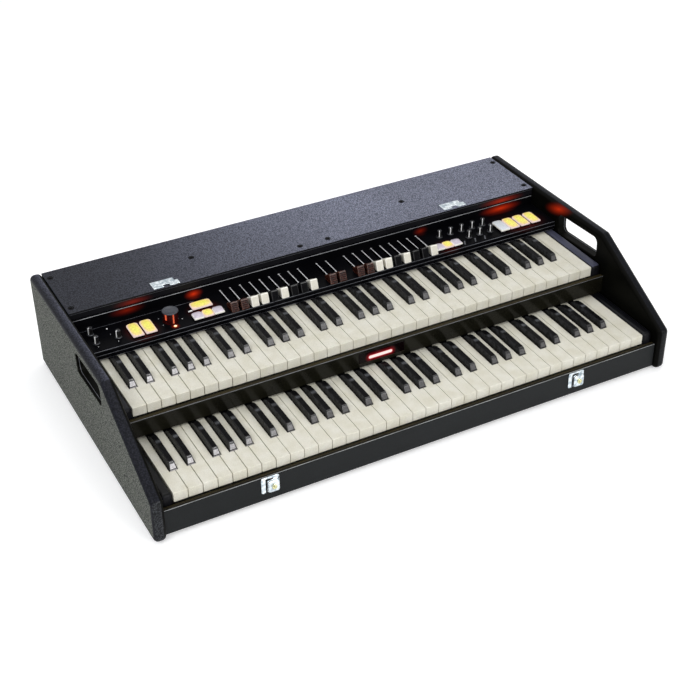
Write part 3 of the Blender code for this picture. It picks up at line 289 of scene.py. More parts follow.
mottledLook = {
    # two shades, (patch, grain, strength of the grain)
    # satin lacquer brushed on sanded wood: near black, one soft long highlight on each round
    "satinLacquer": ("#0d0d10", "#131317", (60.0, 1.6, 0.12), (0.40, 0.05, 0.02), 0.11),
    # the same on the lid rail, with the tabs' light painted on it as a red glow
    "railGlowLacquer": ("#0d0d10", "#131317", (60.0, 1.6, 0.12), (0.40, 0.05, 0.02), 0.11),
    # the same, darker, inside the right side panel: black, so that the red glow of the lit tabs,
    # painted on it, stands out
    "sideGlowLacquer": ("#060605", "#0b0b08", (60.0, 1.6, 0.12), (0.40, 0.05, 0.02), 0.03),
    # the same, darker, inside the left side panel and its slot: painted shade, a plain black hollow
    "slotLacquer": ("#060605", "#0b0b08", (60.0, 1.6, 0.12), (0.40, 0.05, 0.02), 0.03),
    # satin lacquer on the cheek blocks, with painted light on their tops: a shade bluer where they
    # face the ceiling, paler high up on the right cheek, near black on the left one
    "cheekLacquer": (
        "#1f2029", "#282934", (60.0, 1.6, 0.10), (0.38, 0.05, 0.02), 0.14,
        {"fades": ((2, 90.0, 122.0, 0.15, 3.0), (0, 423.5, 427.0, 0.08, 1.0))},
    ),
    # flat lacquer sprayed on the front rail: dull, slightly green, hides its edges
    "railLacquer": ("#17191a", "#1c1e1f", (80.0, 1.8, 0.12), (0.50, 0.05, 0.02), 0.12),
    # the rails' top faces under the keys: the same lacquer, olive where the keys lie in it, a painted
    # reflection of the keys
    "keyGlossLacquer": ("#241f12", "#2e2817", (60.0, 1.8, 0.12), (0.45, 0.05, 0.02), 0.10),
    # polished lacquer of the middle rail: black glass that mirrors the keys below it
    "polishedLacquer": ("#12110c", "#191811", (50.0, 2.0, 0.08), (0.20, 0.05, 0.008), 0.16),
    # moulded ABS, satin from the tool, for the naturals: warm white with a faint yellow drift
    "ivoryAbs": ("#d9d6c9", "#cfcbba", (24.0, 1.5, 0.06), (0.34, 0.06, 0.02), 0.40),
    # moulded ABS, polished, for the sharps' tops: black, with a painted glint where the top begins to
    # curve down to its tail; once for each manual
    "lowerEbonyAbs": (
        "#09090a", "#101012", (7.0, 1.4, 0.30), (0.22, 0.08, 0.03), 0.03, {"band": (-138.0, 6.0, "#66686c")},
    ),
    "upperEbonyAbs": (
        "#09090a", "#101012", (7.0, 1.4, 0.30), (0.22, 0.08, 0.03), 0.03, {"band": (13.0, 6.0, "#66686c")},
    ),
    # the same moulding on the flanks, in painted light and shade: dark grey near the crest, black
    # down at the naturals
    "lowerFlankAbs": (
        "#1f2021", "#323336", (9.0, 1.4, 0.25), (0.28, 0.06, 0.03), 0.05,
        {"fades": ((2, 71.5, 78.0, 0.1, 1.0),)},
    ),
    "upperFlankAbs": (
        "#1f2021", "#323336", (9.0, 1.4, 0.25), (0.28, 0.06, 0.03), 0.05,
        {"fades": ((2, 124.8, 131.3, 0.1, 1.0),)},
    ),
    # the sloped front ends, polished by fingers: a painted reflection of the window's light, pale,
    # more so at the left
    "ebonyFrontAbs": (
        "#c0bec0", "#a19ea0", (3.0, 1.2, 0.15), (0.20, 0.06, 0.02), 0.30,
        {"fades": ((0, -440.0, -120.0, 1.4, 0.20),)},
    ),
    # rounded edges of black mouldings, polished: black again, with a thin hard glint
    "ebonyEdgeAbs": ("#09090a", "#121214", (6.0, 1.4, 0.20), (0.14, 0.05, 0.01), 0.45),
    # moulded ABS, polished, for white caps: creamy, with crisp bright rims
    "whiteAbs": ("#e0dccf", "#d3cebf", (8.0, 1.2, 0.06), (0.26, 0.05, 0.02), 0.5),
    # polished edges of the white caps, also the rims of the unlit tabs: painted highlight, nearly
    # pure white
    "whiteEdgeAbs": ("#f4f2ea", "#ebe8dc", (8.0, 1.2, 0.04), (0.18, 0.05, 0.01), 0.5),
    # moulded ABS, polished, for black caps and the switch: the eye finds it by its edges only
    "blackAbs": ("#09090a", "#101013", (3.0, 1.2, 0.30), (0.22, 0.06, 0.02), 0.03),
    # pressed phenolic for brown caps: dark red-brown, ribbed across with painted light and shade
    # along the ribs, with cloudy flow marks
    "brownPhenolic": (
        "#1a0805", "#3c1c14", (3.5, 1.4, 0.35), (0.24, 0.08, 0.12), 0.12, {"rib": ("Z", 3.2, 0.75)},
    ),
    # polished edges of the brown caps: a paler brown line of painted highlight
    "phenolicEdge": ("#1e0d09", "#5c3c30", (2.5, 1.4, 0.30), (0.18, 0.05, 0.01), 0.5),
    # cast milk acrylic, ribbed along its length with painted light and shade along the ribs, for the
    # long tab that isn't lit: cool and pearly
    "ribbedAcrylic": (
        "#d9dbe4", "#ccd4d4", (14.0, 1.5, 0.06), (0.25, 0.05, 0.25), 0.5, {"rib": ("X", 2.6, 0.13)},
    ),
    # cast milk acrylic, smooth, for the short tabs: lilac, painted light where the lit one beside it
    # bleeds in
    "milkAcrylic": ("#cfc4cf", "#bab2bc", (6.0, 1.5, 0.06), (0.25, 0.04, 0.02), 0.5),
    # moulded ABS, satin, for the small knobs: black on black, a dull glint at the rim
    "knobAbs": ("#0b0b0c", "#111112", (6.0, 1.2, 0.15), (0.34, 0.06, 0.02), 0.25),
    # polished edges of the small knobs: thin grey arcs of painted highlight, all that shows of them
    "knobEdgeAbs": ("#3c3e43", "#505258", (5.0, 1.2, 0.15), (0.20, 0.06, 0.01), 0.40),
    # moulded ABS, satin, for the vibrato knob's cap: blue-grey, painted light from the ceiling
    "capAbs": ("#23262e", "#2d3039", (6.0, 1.4, 0.15), (0.40, 0.06, 0.03), 0.45),
    # smoked acrylic, turned and polished, for the vibrato knob's barrel: deep red, partly painted
    # light, the red lamp light that it holds
    "smokedAcrylic": ("#260405", "#360807", (5.0, 1.4, 0.20), (0.18, 0.05, 0.01), 0.35),
    # filled-in enamel for pointers and marks: flat white, the brightest thing on the panel
    "markPaint": ("#efefed", "#e2e2e2", (3.0, 1.0, 0.06), (0.40, 0.05, 0.01), 0.5),
    # screen-printed ink for the scale lines: dull pale grey with worn stretches
    "printInk": ("#dadbdc", "#b4b5b6", (6.0, 1.3, 0.15), (0.55, 0.06, 0.01), 0.30),
    # filled-in grey enamel for the marks that aren't lit: dots that nearly go under
    "greyEnamel": ("#84868a", "#747679", (3.0, 1.0, 0.08), (0.45, 0.05, 0.01), 0.5),
    # solder mask, silk-screened on the circuit board: green with faint lighter tracks
    "solderMask": ("#1c5a34", "#277045", (5.0, 1.5, 0.20), (0.35, 0.08, 0.03), 0.5),
    # powder coat baked on the panel's sheet: black and smooth, grey only along its bend, with the
    # red glow of the lit tabs painted on it
    "powderCoat": ("#050507", "#08080b", (40.0, 1.5, 0.30), (0.30, 0.04, 0.01), 0.02),
    # painted highlight along an edge: one thin pale line
    "rubbedEdge": ("#a6a8aa", "#7c7e82", (30.0, 2.0, 0.15), (0.45, 0.06, 0.02), 0.5),
    # a dull grey line: painted highlight along bends and edges; the same grey draws the line
    # behind the left controls
    "rubbedBend": ("#74767c", "#54565c", (30.0, 2.0, 0.15), (0.45, 0.06, 0.02), 0.5),
    # black oxide on steel screws, from a hot bath: flat black dots on the paler lid; the same black
    # stands for painted shade in the catches' keyholes, slots and recesses
    "blackOxide": ("#070708", "#0d0d0f", (3.0, 1.0, 0.15), (0.35, 0.06, 0.02), 0.03),
}

metalLook = {
    # bright nickel plate on pressed steel: cool, nearly a mirror, with a slow wave in it
    "brightNickel": ("#e9f0f3", "#a3b0b9", (6.0, 2.0, 0.06), (0.20, 0.08, 0.04), 0.5),
    # nickel plated steel, worn, for the drawbar stems, small screws and sockets: grey and soft
    "nickelPlate": ("#d3dada", "#9da6aa", (6.0, 2.0, 0.08), (0.22, 0.08, 0.05), 0.5),
    # zinc plate, passivated, on the steel inside: greyer and duller than the nickel
    "zincPlate": ("#a3a7a8", "#8b8f92", (12.0, 2.0, 0.10), (0.42, 0.08, 0.03), 0.5),
    # turned brass, plated thin, for the lock rings: a pale green-gold spot on the cool nickel
    "turnedBrass": ("#dcdab0", "#bfb982", (3.0, 1.2, 0.10), (0.28, 0.06, 0.02), 0.5),
}

finishes = {}
for name, row in pebbledLook.items():
    finishes[name] = pebbled(name, row)
for name, row in mottledLook.items():
    finishes[name] = mottled(name, row)
for name, row in metalLook.items():
    finishes[name] = mottled(name, row, 1.0)
print("finishes made:", len(finishes))


# Painted light: the red glow that the lit tabs and the lamp throw on what stands round them

glowLook = {"colour": "#ff3c10", "strength": 0.75}
glows = {
    # for each finish: centre and half sizes in case millimetres, how strong, and how tilted
    "powderCoat": (
        ((375.0, 386.0, 147.0), (50.0, 12.0, 12.0), 0.70),
        ((-347.0, 386.0, 150.0), (36.0, 12.0, 11.0), 0.22),
        ((-231.0, 386.0, 146.0), (19.0, 12.0, 11.0), 0.80),
        ((205.0, 386.0, 146.0), (18.0, 12.0, 10.0), 0.20),
        ((-342.5, 333.0, 139.6), (36.0, 38.0, 9.0), 0.16),
        ((385.0, 333.0, 139.6), (56.0, 38.0, 9.0), 0.16),
        ((-231.0, 342.0, 139.6), (36.0, 34.0, 9.0), 0.14),
        ((224.0, 325.0, 139.6), (32.0, 28.0, 9.0), 0.12),
        ((-290.6, 319.5, 139.6), (9.0, 9.0, 5.0), 0.60),
    ),
    "railGlowLacquer": (
        ((376.0, 385.5, 163.0), (54.0, 20.0, 11.0), 0.42),
        ((-336.0, 385.5, 163.0), (40.0, 20.0, 10.0), 0.24),
    ),
    "sideGlowLacquer": (((443.4, 302.0, 167.0), (14.0, 48.0, 15.0), 0.58, -0.36),),
}


def addGlow(finish, spots, look):
    # soft red light painted where the tabs throw it
    tree = finishes[finish].node_tree
    shader = tree.nodes["Principled BSDF"]
    place = addNode(tree, "ShaderNodeTexCoord")
    total = None
    for centre, half, share, *tilt in spots:
        settings = {
            "vector_type": "TEXTURE", "Location": toFrame @ Vector(centre),
            "Rotation": (sum(tilt), 0.0, 0.0), "Scale": [h / 1000 for h in half],
        }
        mapped = addNode(tree, "ShaderNodeMapping", settings, {"Vector": place.outputs["Object"]})
        kind = {"gradient_type": "QUADRATIC_SPHERE"}
        ball = addNode(tree, "ShaderNodeTexGradient", kind, {0: mapped.outputs[0]})
        part = maths(tree, "MULTIPLY", ball.outputs["Fac"], share * look["strength"])
        total = maths(tree, "ADD", total, part) if total else part
    tree.links.new(total, shader.inputs["Emission Strength"])
    feed(tree, shader, "Emission Color", look["colour"])


for name, spots in glows.items():
    addGlow(name, spots, glowLook)


litLook = {
    # body, hot middle, warm belt and cool rim; stretch; reach of the three; power
    # cast acrylic, lit tab: yellow lamp in the middle, washed out to a pinkish white rim
    "litTabAcrylic": (
        "#3a342c", "#f4ec60", "#f4dc7c", "#f0d0b8", (1.0, 0.9, 0.0), (0.20, 0.42, 0.56), 0.92,
    ),
    # rim of a lit tab: the same acrylic, washed to a pinkish white
    "litRimAcrylic": ("#4a4038", "#f0d8d0", "#eed4ce", "#e8ccc8", (1.0, 1.0, 0.0), (0.2, 0.5, 0.8), 0.85),
    # painted reflection on the vibrato knob's barrel: a pinkish orange streak of lamp light, made to
    # glow
    "paintedStreakAcrylic": ("#50140a", "#ffa47c", "#ec6038", "#c83418", (1.0, 1.0, 1.0), (0.1, 0.6, 0.9), 0.9),
    # painted reflection beside each streak on the barrel: the same light, sunk in the red
    "paintedDimStreakAcrylic": ("#3a0804", "#a82810", "#801808", "#600e04", (1.0, 1.0, 1.0), (0.1, 0.6, 0.9), 0.6),
    # moulded acrylic lamp lens beside the vibrato knob: cream in the middle, orange at its edge
    "litLampAcrylic": ("#8a4a20", "#fff4dc", "#ffcf98", "#ff7a38", (1.0, 1.0, 0.0), (0.2, 0.40, 0.58), 1.5),
}


def litAcrylic(name, row):
    # glowing acrylic: hot in the middle, then warm, then cool at its rim; a lamp stands behind the
    # tabs and the lens, while on the knob's barrel it is painted light
    body, hot, warm, cool, stretch, (core, belt, rim), power = row
    made, tree, shader, place = newMaterial(name, {"Roughness": 0.25, "Base Color": body})
    middle = vectorMaths(tree, "SUBTRACT", place.outputs["Generated"], (0.5, 0.5, 0.5))
    away = vectorMaths(tree, "LENGTH", vectorMaths(tree, "MULTIPLY", middle, stretch))
    inner = eased(tree, away, core, belt, 0.0, 1.0)
    outer = eased(tree, away, belt, rim, 0.0, 1.0)
    shade = blended(tree, blended(tree, hot, warm, inner), cool, outer)
    tree.links.new(shade, shader.inputs["Emission Color"])
    cloud = noise(tree, place.outputs["Object"], 3.0, 2.0)
    strength = ranged(tree, cloud, 0.35, 0.65, power * 0.9, power * 1.1)
    tree.links.new(strength, shader.inputs["Emission Strength"])
    return made


for name, row in litLook.items():
    finishes[name] = litAcrylic(name, row)


badgeLook = {
    # bar: centre, half length and radius in case millimetres; halo is how far its light reaches
    "centre": (-2.3, 160.0, 86.0), "bar": 19.0, "radius": 2.6, "halo": 8.0,
    "lamp": "#fff0ea", "rim": "#c81c24", "haloColour": "#5a0c12", "lens": "#0a0304", "power": 1.0,
    # the lens itself
    "width": 84.0, "height": 19.0, "level": 88.0, "round": 2.0, "edge": 0.4,
}


def smokedLens(name, look):
    # smoked red acrylic, cast and polished: nearly black, with one crisp bar of light behind it
    settings = {"Base Color": look["lens"], "Roughness": 0.22, "Specular IOR Level": 0.12}
    made, tree, shader, place = newMaterial(name, settings)
    centre = toFrame @ Vector(look["centre"])
    x, y, z = apart(tree, vectorMaths(tree, "SUBTRACT", place.outputs["Object"], centre))
    past = maths(tree, "SUBTRACT", maths(tree, "ABSOLUTE", x), look["bar"] / 1000)
    past = maths(tree, "MAXIMUM", past, 0.0)
    both = addNode(tree, "ShaderNodeCombineXYZ", {}, {0: past, 2: z})
    away = vectorMaths(tree, "LENGTH", both.outputs[0])
    edge, far = look["radius"] / 1000, (look["radius"] + look["halo"]) / 1000
    lit = blended(tree, look["lamp"], look["rim"], eased(tree, away, edge * 0.8, edge * 1.3, 0.0, 1.0))
    glow = blended(tree, lit, look["haloColour"], eased(tree, away, edge, edge * 2.0, 0.0, 1.0))
    tree.links.new(glow, shader.inputs["Emission Color"])
    strength = eased(tree, away, edge * 1.6, far, look["power"], 0.0)
    tree.links.new(strength, shader.inputs["Emission Strength"])
    return made


finishes["smokedLens"] = smokedLens("smokedLens", badgeLook)
print("lit finishes made")


# Helpers for meshes, all in case millimetres

def loft(bm, rings, finish=0):
    # skins rings of as many points each and closes both ends
    loops = [[bm.verts.new(point) for point in ring] for ring in rings]
    made = []
    for near, far in zip(loops, loops[1:]):
        for index in range(len(near)):
            following = (index + 1) % len(near)
            made.append(bm.faces.new((near[index], near[following], far[following], far[index])))
    made.append(bm.faces.new(loops[0][::-1]))
    made.append(bm.faces.new(loops[-1]))
    for face in made:
        face.material_index = finish
    return made


def prism(bm, outline, start, end, axis):
    # outline is drawn in the two axes that are left, in their order
    at = "xyz".index(axis)
    loft(bm, [[(*point[:at], level, *point[at:]) for point in outline] for level in (start, end)])


def block(bm, low, high):
    outline = [(low[0], low[1]), (high[0], low[1]), (high[0], high[1]), (low[0], high[1])]
    prism(bm, outline, low[2], high[2], "z")


def turned(bm, centre, steps, sides=32, axis="z", finish=0):
    # steps are pairs of radius and height along the axis
    at = "xyz".index(axis)
    rings = []
    for radius, height in steps:
        ring = []
        for step in range(sides):
            angle = 2 * math.pi * step / sides
            place = [radius * math.cos(angle), radius * math.sin(angle)]
            place.insert(at, height)
            ring.append(Vector(centre) + Vector(place))
        rings.append(ring)
    return loft(bm, rings, finish)


def roundOutline(points, radius, inset=0.0, steps=6):
    # outline with an arc at each corner; radius is one value, or one for each corner
    result = []
    radii = radius if isinstance(radius, (list, tuple)) else [radius] * len(points)
    for index, corner in enumerate(points):
        size = radii[index]
        here = Vector(corner)
        before = (Vector(points[index - 1]) - here).normalized()
        after = (Vector(points[(index + 1) % len(points)]) - here).normalized()
        half = before.angle(after) / 2
        centre = here + (before + after).normalized() * (size / math.sin(half))
        first = (here + before * (size / math.tan(half)) - centre).normalized()
        last = (here + after * (size / math.tan(half)) - centre).normalized()
        sweep = first.angle(last)
        for step in range(steps + 1):
            share = step / steps
            ray = first * math.sin((1 - share) * sweep) + last * math.sin(share * sweep)
            result.append(tuple(centre + ray / math.sin(sweep) * (size - inset)))
    return result


def oblong(width, height, x=0.0, y=0.0):
    w, h = width / 2, height / 2
    return [(x - w, y - h), (x + w, y - h), (x + w, y + h), (x - w, y + h)]


def quarter(steps):
    # cosine and sine of even steps through a right angle
    return [(math.cos(a), math.sin(a)) for a in (step / steps * math.pi / 2 for step in range(steps + 1))]


def carved(bm, cutter):
    # takes one closed form out of another
    holders = []
    for name, part in (("stock", bm), ("cutter", cutter)):
        bmesh.ops.recalc_face_normals(part, faces=part.faces)
        mesh = bpy.data.meshes.new(name)
        part.to_mesh(mesh)
        part.free()
        holders.append(newObject(name, mesh))
    step = holders[0].modifiers.new("cut", "BOOLEAN")
    step.operation = "DIFFERENCE"
    step.solver = "EXACT"
    step.object = holders[1]
    graph = bpy.context.evaluated_depsgraph_get()
    result = bmesh.new()
    result.from_mesh(holders[0].evaluated_get(graph).to_mesh())
    for holder in holders:
        mesh = holder.data
        bpy.data.objects.remove(holder)
        bpy.data.meshes.remove(mesh)
    return result


def makePiece(name, bm, looks, body="case", bevel=0.0, segments=3, limit=40, inFrame=False, edge=-1):
    # closes a mesh into a piece: edges rounded by the bevel (mm), shaded smooth, riding on its body;
    # edge is the finish that the rounded edges take, as its number among the looks
    bmesh.ops.recalc_face_normals(bm, faces=bm.faces)
    mesh = bpy.data.meshes.new(name)
    bm.to_mesh(mesh)
    bm.free()
    if not inFrame:
        mesh.transform(toFrame)
    for look in [looks] if isinstance(looks, str) else looks:
        mesh.materials.append(finishes[look])
    mesh.shade_smooth()
    if not bevel:
        mesh.set_sharp_from_angle(angle=math.radians(limit))
    piece = newObject(name, mesh)
    if bevel:
        rounding = piece.modifiers.new("rounding", "BEVEL")
        rounding.width = bevel / 1000
        rounding.segments = segments
        rounding.limit_method = "ANGLE"
        rounding.angle_limit = math.radians(limit)
        rounding.material = edge
        even = piece.modifiers.new("evenShading", "WEIGHTED_NORMAL")
        even.keep_sharp = False
    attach(piece, body)
    return piece


def softened(node, looks, bevel, segments=3, limit=40, edge=-1, zones=(), inset=0.0):
    # a copy of a CAD node with rounded edges that stands for the node; each zone is the number of
    # a finish, the direction its faces look in, and how closely
    source = frame["nodes"][node]
    bm = bmesh.new()
    bm.from_mesh(source.data)
    bmesh.ops.remove_doubles(bm, verts=bm.verts, dist=0.000005)
    bmesh.ops.dissolve_limit(
        bm, angle_limit=math.radians(1.5), verts=bm.verts, edges=bm.edges, delimit={"MATERIAL"}
    )
    bm.normal_update()
    for face in bm.faces:
        face.material_index = 0
        for number, ahead, share in zones:
            if face.normal.dot(Vector(ahead)) > share:
                face.material_index = number
    if inset:
        # the last zone keeps a frame of the edge finish round it
        framed = [face for face in bm.faces if face.material_index == zones[-1][0] and face.normal.z > 0.1]
        for face in bmesh.ops.inset_individual(bm, faces=framed, thickness=inset / 1000)["faces"]:
            face.material_index = edge
    body = source["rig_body"]
    piece = makePiece(f"{node}_shell", bm, looks, body, bevel, segments, limit, True, edge)
    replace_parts(piece, node)


def paintNode(node, look):
    # the CAD node stays and takes a new finish
    for slot in frame["nodes"][node].material_slots:
        slot.material = finishes[look]


# Stage: pale floor, white room, soft lamps

stageLook = {
    "floor": "#f2f2f2", "floorGlow": 0.36, "ambient": 0.42, "ambientColour": "#f4f6fa",
    # name: place, target, size, power
    "lamps": {
        "keyBox": ((-2.2, -1.6, 2.6), (0.0, 0.0, 0.05), 1.8, 52.0),
        "topBox": ((0.4, 0.6, 3.0), (0.0, 0.0, 0.05), 2.2, 32.0),
        "frontBox": ((0.9, -3.0, 1.5), (0.0, 0.0, 0.05), 1.6, 42.0),
    },
}


def makeStage(look):
    bm = bmesh.new()
    bmesh.ops.create_grid(bm, x_segments=1, y_segments=1, size=6.0)
    mesh = bpy.data.meshes.new("studioFloor")
    bm.to_mesh(mesh)
    bm.free()
    floor = newObject("studioFloor", mesh)
    floor.location = (0.0, 0.0, -0.0002)
    made, tree, shader, place = newMaterial("floorPaper", {"Roughness": 0.9, "Base Color": look["floor"]})
    path = addNode(tree, "ShaderNodeLightPath").outputs
    seen = maths(tree, "MAXIMUM", path["Is Camera Ray"], path["Is Glossy Ray"])
    feed(tree, shader, "Emission Color", (1.0, 1.0, 1.0, 1.0))
    feed(tree, shader, "Emission Strength", maths(tree, "MULTIPLY", seen, look["floorGlow"]))
    mesh.materials.append(made)


def makeLight(look):
    world = bpy.data.worlds.new("studio")
    bpy.context.scene.world = world
    world.use_nodes = True
    tree = world.node_tree
    plain = tree.nodes["Background"]
    feed(tree, plain, "Color", look["ambientColour"])
    feed(tree, plain, "Strength", look["ambient"])
    white = addNode(tree, "ShaderNodeBackground", {"Color": (1.0, 1.0, 1.0, 1.0), "Strength": 1.0})
    path = addNode(tree, "ShaderNodeLightPath").outputs
    seen = path["Is Camera Ray"]
    for kind in ("Is Glossy Ray", "Is Transmission Ray"):
        seen = maths(tree, "MAXIMUM", seen, path[kind])
    both = addNode(tree, "ShaderNodeMixShader", {}, {0: seen, 1: plain.outputs[0], 2: white.outputs[0]})
    tree.links.new(both.outputs[0], tree.nodes["World Output"].inputs["Surface"])
    for name, (spot, target, size, power) in look["lamps"].items():
        data = bpy.data.lights.new(name, "AREA")
        data.size = size
        data.energy = power
        lamp = newObject(name, data)
        lamp.location = spot
        lamp.rotation_euler = (Vector(target) - Vector(spot)).to_track_quat("-Z", "Y").to_euler()


makeStage(stageLook)
makeLight(stageLook)
bpy.context.scene.view_settings.view_transform = "Standard"
print("stage and light set")


# Side panels with their handle slots

sideLook = {
    "outer": 463.4, "thickness": 20.0, "round": 9.5, "edge": 8.0,
    "corners": [(0.0, 0.0), (532.0, 0.0), (532.0, 174.5), (179.5, 177.5), (0.0, 76.8)],
    "slot": (113.0, 37.0), "slotCentre": (245.0, 141.5), "slotRound": 9.5, "slotTilt": 2.5, "slotEase": 2.4,
    # painted highlight band in the slot: depth from the outer face, and how far it stands out of
    # the wall
    "rim": ((5.0, -0.2), (5.0, 0.4), (5.6, 0.4), (5.6, -0.2)),
    "bull": ("bullLacquer", "slopeLacquer", "frontLacquer"),
}


def slotOutline(look, inset):
    tilt = math.radians(look["slotTilt"])
    across, up = look["slotCentre"]
    outline = roundOutline(oblong(*look["slot"]), look["slotRound"], inset, 8)
    return [(across + y * math.cos(tilt) + z * math.sin(tilt), up + z * math.cos(tilt) - y * math.sin(tilt))
            for y, z in outline]


def sidePanel(name, side, inside, look):
    half = look["thickness"] / 2
    centre = side * (look["outer"] - half)
    places = [(half - look["edge"] * (1 - c), look["edge"] * (1 - s)) for c, s in quarter(8)]
    places += [(-x, inset) for x, inset in reversed(places)]
    bm = bmesh.new()
    loft(bm, [[(centre + x, y, z) for y, z in roundOutline(look["corners"], look["round"], inset, 8)]
              for x, inset in places])
    hole = bmesh.new()
    prism(hole, slotOutline(look, 0.0), centre - 2 * half, centre + 2 * half, "x")
    bm = carved(bm, hole)
    for face in bm.faces:
        # outer face, inner face, then top, slope and front end: one paint, with painted light and shade
        # after how each face meets the lamps; the slot's walls go with the inside, in painted shade
        across = face.normal.x * side
        along = 4 if face.normal.y < -0.75 else 3 if face.normal.y < -0.25 else 2
        face.material_index = 1 if across > 0.99 else 0 if across < -0.35 else along
        y, z = face.calc_center_median().yz - Vector(look["slotCentre"])
        if abs(y) < look["slot"][0] / 2 + 3 and abs(z) < look["slot"][1] / 2 + 4 and abs(across) < 0.5:
            face.material_index = 0
    return makePiece(name, bm, [inside, "structurePaint", *look["bull"]], "case", look["slotEase"], 4, 60)


def slotRim(name, side, look):
    # thin band of painted highlight round a handle slot, where its rounded mouth ends
    bm = bmesh.new()
    loops = [[bm.verts.new((side * (look["outer"] - x), y, z)) for y, z in slotOutline(look, inset)]
             for x, inset in look["rim"]]
    for index, loop in enumerate(loops):
        beside = loops[(index + 1) % len(loops)]
        for step in range(len(loop)):
            after = (step + 1) % len(loop)
            bm.faces.new((loop[step], loop[after], beside[after], beside[step]))
    makePiece(name, bm, "rubbedBend")


for side, word in ((-1, "left"), (1, "right")):
    slotRim(f"{word}SlotRim", side, sideLook)
for side, word, inside in ((-1, "left", "slotLacquer"), (1, "right", "sideGlowLacquer")):
    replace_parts(sidePanel(f"{word}Side", side, inside, sideLook), f"{word}_side_panel")
print("side panels made")


# Rails, cheeks, lid, base and back

# zones give the faces turned up, and the lid's front, finishes of their own: painted light on the cheeks'
# tops, a painted reflection on the rails' tops, painted shade on the lid's front
upward = ((1, (0, 0, 1), 0.9),)
rounding = {
    # node: finishes, bevel in millimetres, steps of the bevel, zones
    "left_cheek": (["satinLacquer", "cheekLacquer"], 7.0, 6, upward),
    "right_cheek": (["satinLacquer", "cheekLacquer"], 7.0, 6, upward),
    "front_rail": (["railLacquer", "keyGlossLacquer"], 0.5, 3, upward),
    "middle_rail": (["polishedLacquer", "keyGlossLacquer"], 0.5, 3, upward),
    "lid_rail": (["railGlowLacquer"], 1.2, 3, ()),
    "back_panel": (["structurePaint"], 0.8, 2, ()),
    "top_lid": (["lidPaint", "satinLacquer"], 0.8, 3, ((1, (0, -1, 0), 0.6),)),
}
for node, (looks, bevel, segments, zones) in rounding.items():
    softened(node, looks, bevel, segments, 35, -1, zones)
paintNode("base_board", "satinLacquer")
paintNode("lower_key_frame", "zincPlate")
paintNode("upper_key_frame", "zincPlate")


edgeLook = {
    # finish, y, z, radius and half length of each painted highlight line along an edge
    "middleRailEdge": ("rubbedBend", 160.25, 102.75, 0.36, 442.8),
    "frontRailEdge": ("rubbedEdge", 9.2, 49.2, 0.40, 442.8),
    "upstandEdge": ("rubbedEdge", 387.0, 154.9, 0.75, 442.6),
    "bendEdge": ("rubbedBend", 310.3, 138.35, 0.36, 442.6),
    "flangeEdge": ("rubbedBend", 308.95, 131.3, 0.30, 442.6),
    "lipEdge": ("rubbedBend", 309.25, 124.4, 0.36, 442.6),
    "lidRailEdge": ("rubbedBend", 385.9, 169.0, 0.40, 442.6),
}


def highlightBeads(look):
    # a bead along each edge, in a painted highlight finish
    for name, (finish, y, z, radius, half) in look.items():
        bm = bmesh.new()
        ends = [(radius * 0.5, 0.0), (radius, 0.6), (radius, 2 * half - 0.6), (radius * 0.5, 2 * half)]
        turned(bm, (-half, y, z), ends, 12, "x")
        makePiece(name, bm, finish)


highlightBeads(edgeLook)
print("rails, lid, base and back made")


# Keys

keyLook = {"naturalEdge": 0.75, "sharpEdge": 0.7, "frontFrame": 2.0}
# flanks and front ends of a sharp, each with the finish number it takes: painted light and shade
# that sets them apart from the tops
sharpZones = ((2, (1, 0, 0), 0.6), (2, (-1, 0, 0), 0.6), (3, (0, -1, 0), 0.45))
for manual in ("lower", "upper"):
    for node in [f"{manual}_key_{key}" for key in "cdefgab"] + [f"{manual}_naturals"]:
        softened(node, "ivoryAbs", keyLook["naturalEdge"], 2, 50)
    for node in [f"{manual}_key_{key}_sharp" for key in "cdfga"] + [f"{manual}_sharps"]:
        looks = [f"{manual}EbonyAbs", "ebonyEdgeAbs", f"{manual}FlankAbs", "ebonyFrontAbs"]
        softened(node, looks, keyLook["sharpEdge"], 3, 40, 1, sharpZones, keyLook["frontFrame"])
print("keys made")


# Badge window: a plain lens, flush with the rail

def badgeWindow(look):
    bm = bmesh.new()
    outline = roundOutline(oblong(look["width"], look["height"], 0.0, look["level"]), look["round"], 0.0, 5)
    low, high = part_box("badge_lens")
    front = low.y * 1000 + 266.0
    prism(bm, outline, front, front + (high.y - low.y) * 1000, "y")
    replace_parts(makePiece("badgeWindow", bm, "smokedLens", "case", look["edge"], 3), "badge_lens")


badgeWindow(badgeLook)


# Control panel and drawbars

panelLook = {
    "half": 443.1, "front": 309.0, "top": 139.6, "lip": 15.4, "sheet": 2.0, "bend": 4.2,
    "back": 386.0, "upstand": 15.4,
    # openings for the moving tab and for the vibrato knob's shaft
    "tabHole": (-363.5, 314.3, -343.5, 354.7), "shaftHole": 3.4,
    # line behind the left controls: its y, half width and right end
    "line": (375.0, 0.25, -236.0),
}
drawbarLook = {
    "pitch": 18.1, "groups": {"upper": (9, -116.3), "bass": (2, 1.3), "lower": (9, 117.7)},
    "slotWidth": 2.4, "slotStart": 314.3, "slotEnd": 374.0,
    "scaleShift": 4.0, "scaleWidth": 1.5, "scaleStart": 313.7, "scaleEnd": 384.0, "dot": 1.6,
    "capWidth": 13.3, "front": 308.6, "round": 1.4,
    # side view of a cap from its front edge, after its two lowest points
    "side": ((24.0, 7.5), (8.0, 17.0), (6.0, 17.4)), "foot": 22.5,
    # stem and its foot under the sheet: half width, start and end in y, low and high from the top
    "stem": ((0.9, 6.0, 12.0, -3.0, 0.9), (4.0, 5.0, 13.0, -7.3, -2.3)),
    "order": ("brown", "brown", "white", "white", "black", "white", "black", "black", "white"),
}
capFinish = {
    "brown": ["brownPhenolic", "phenolicEdge"], "white": ["whiteAbs", "whiteEdgeAbs"],
    "black": ["blackAbs", "ebonyEdgeAbs"],
}
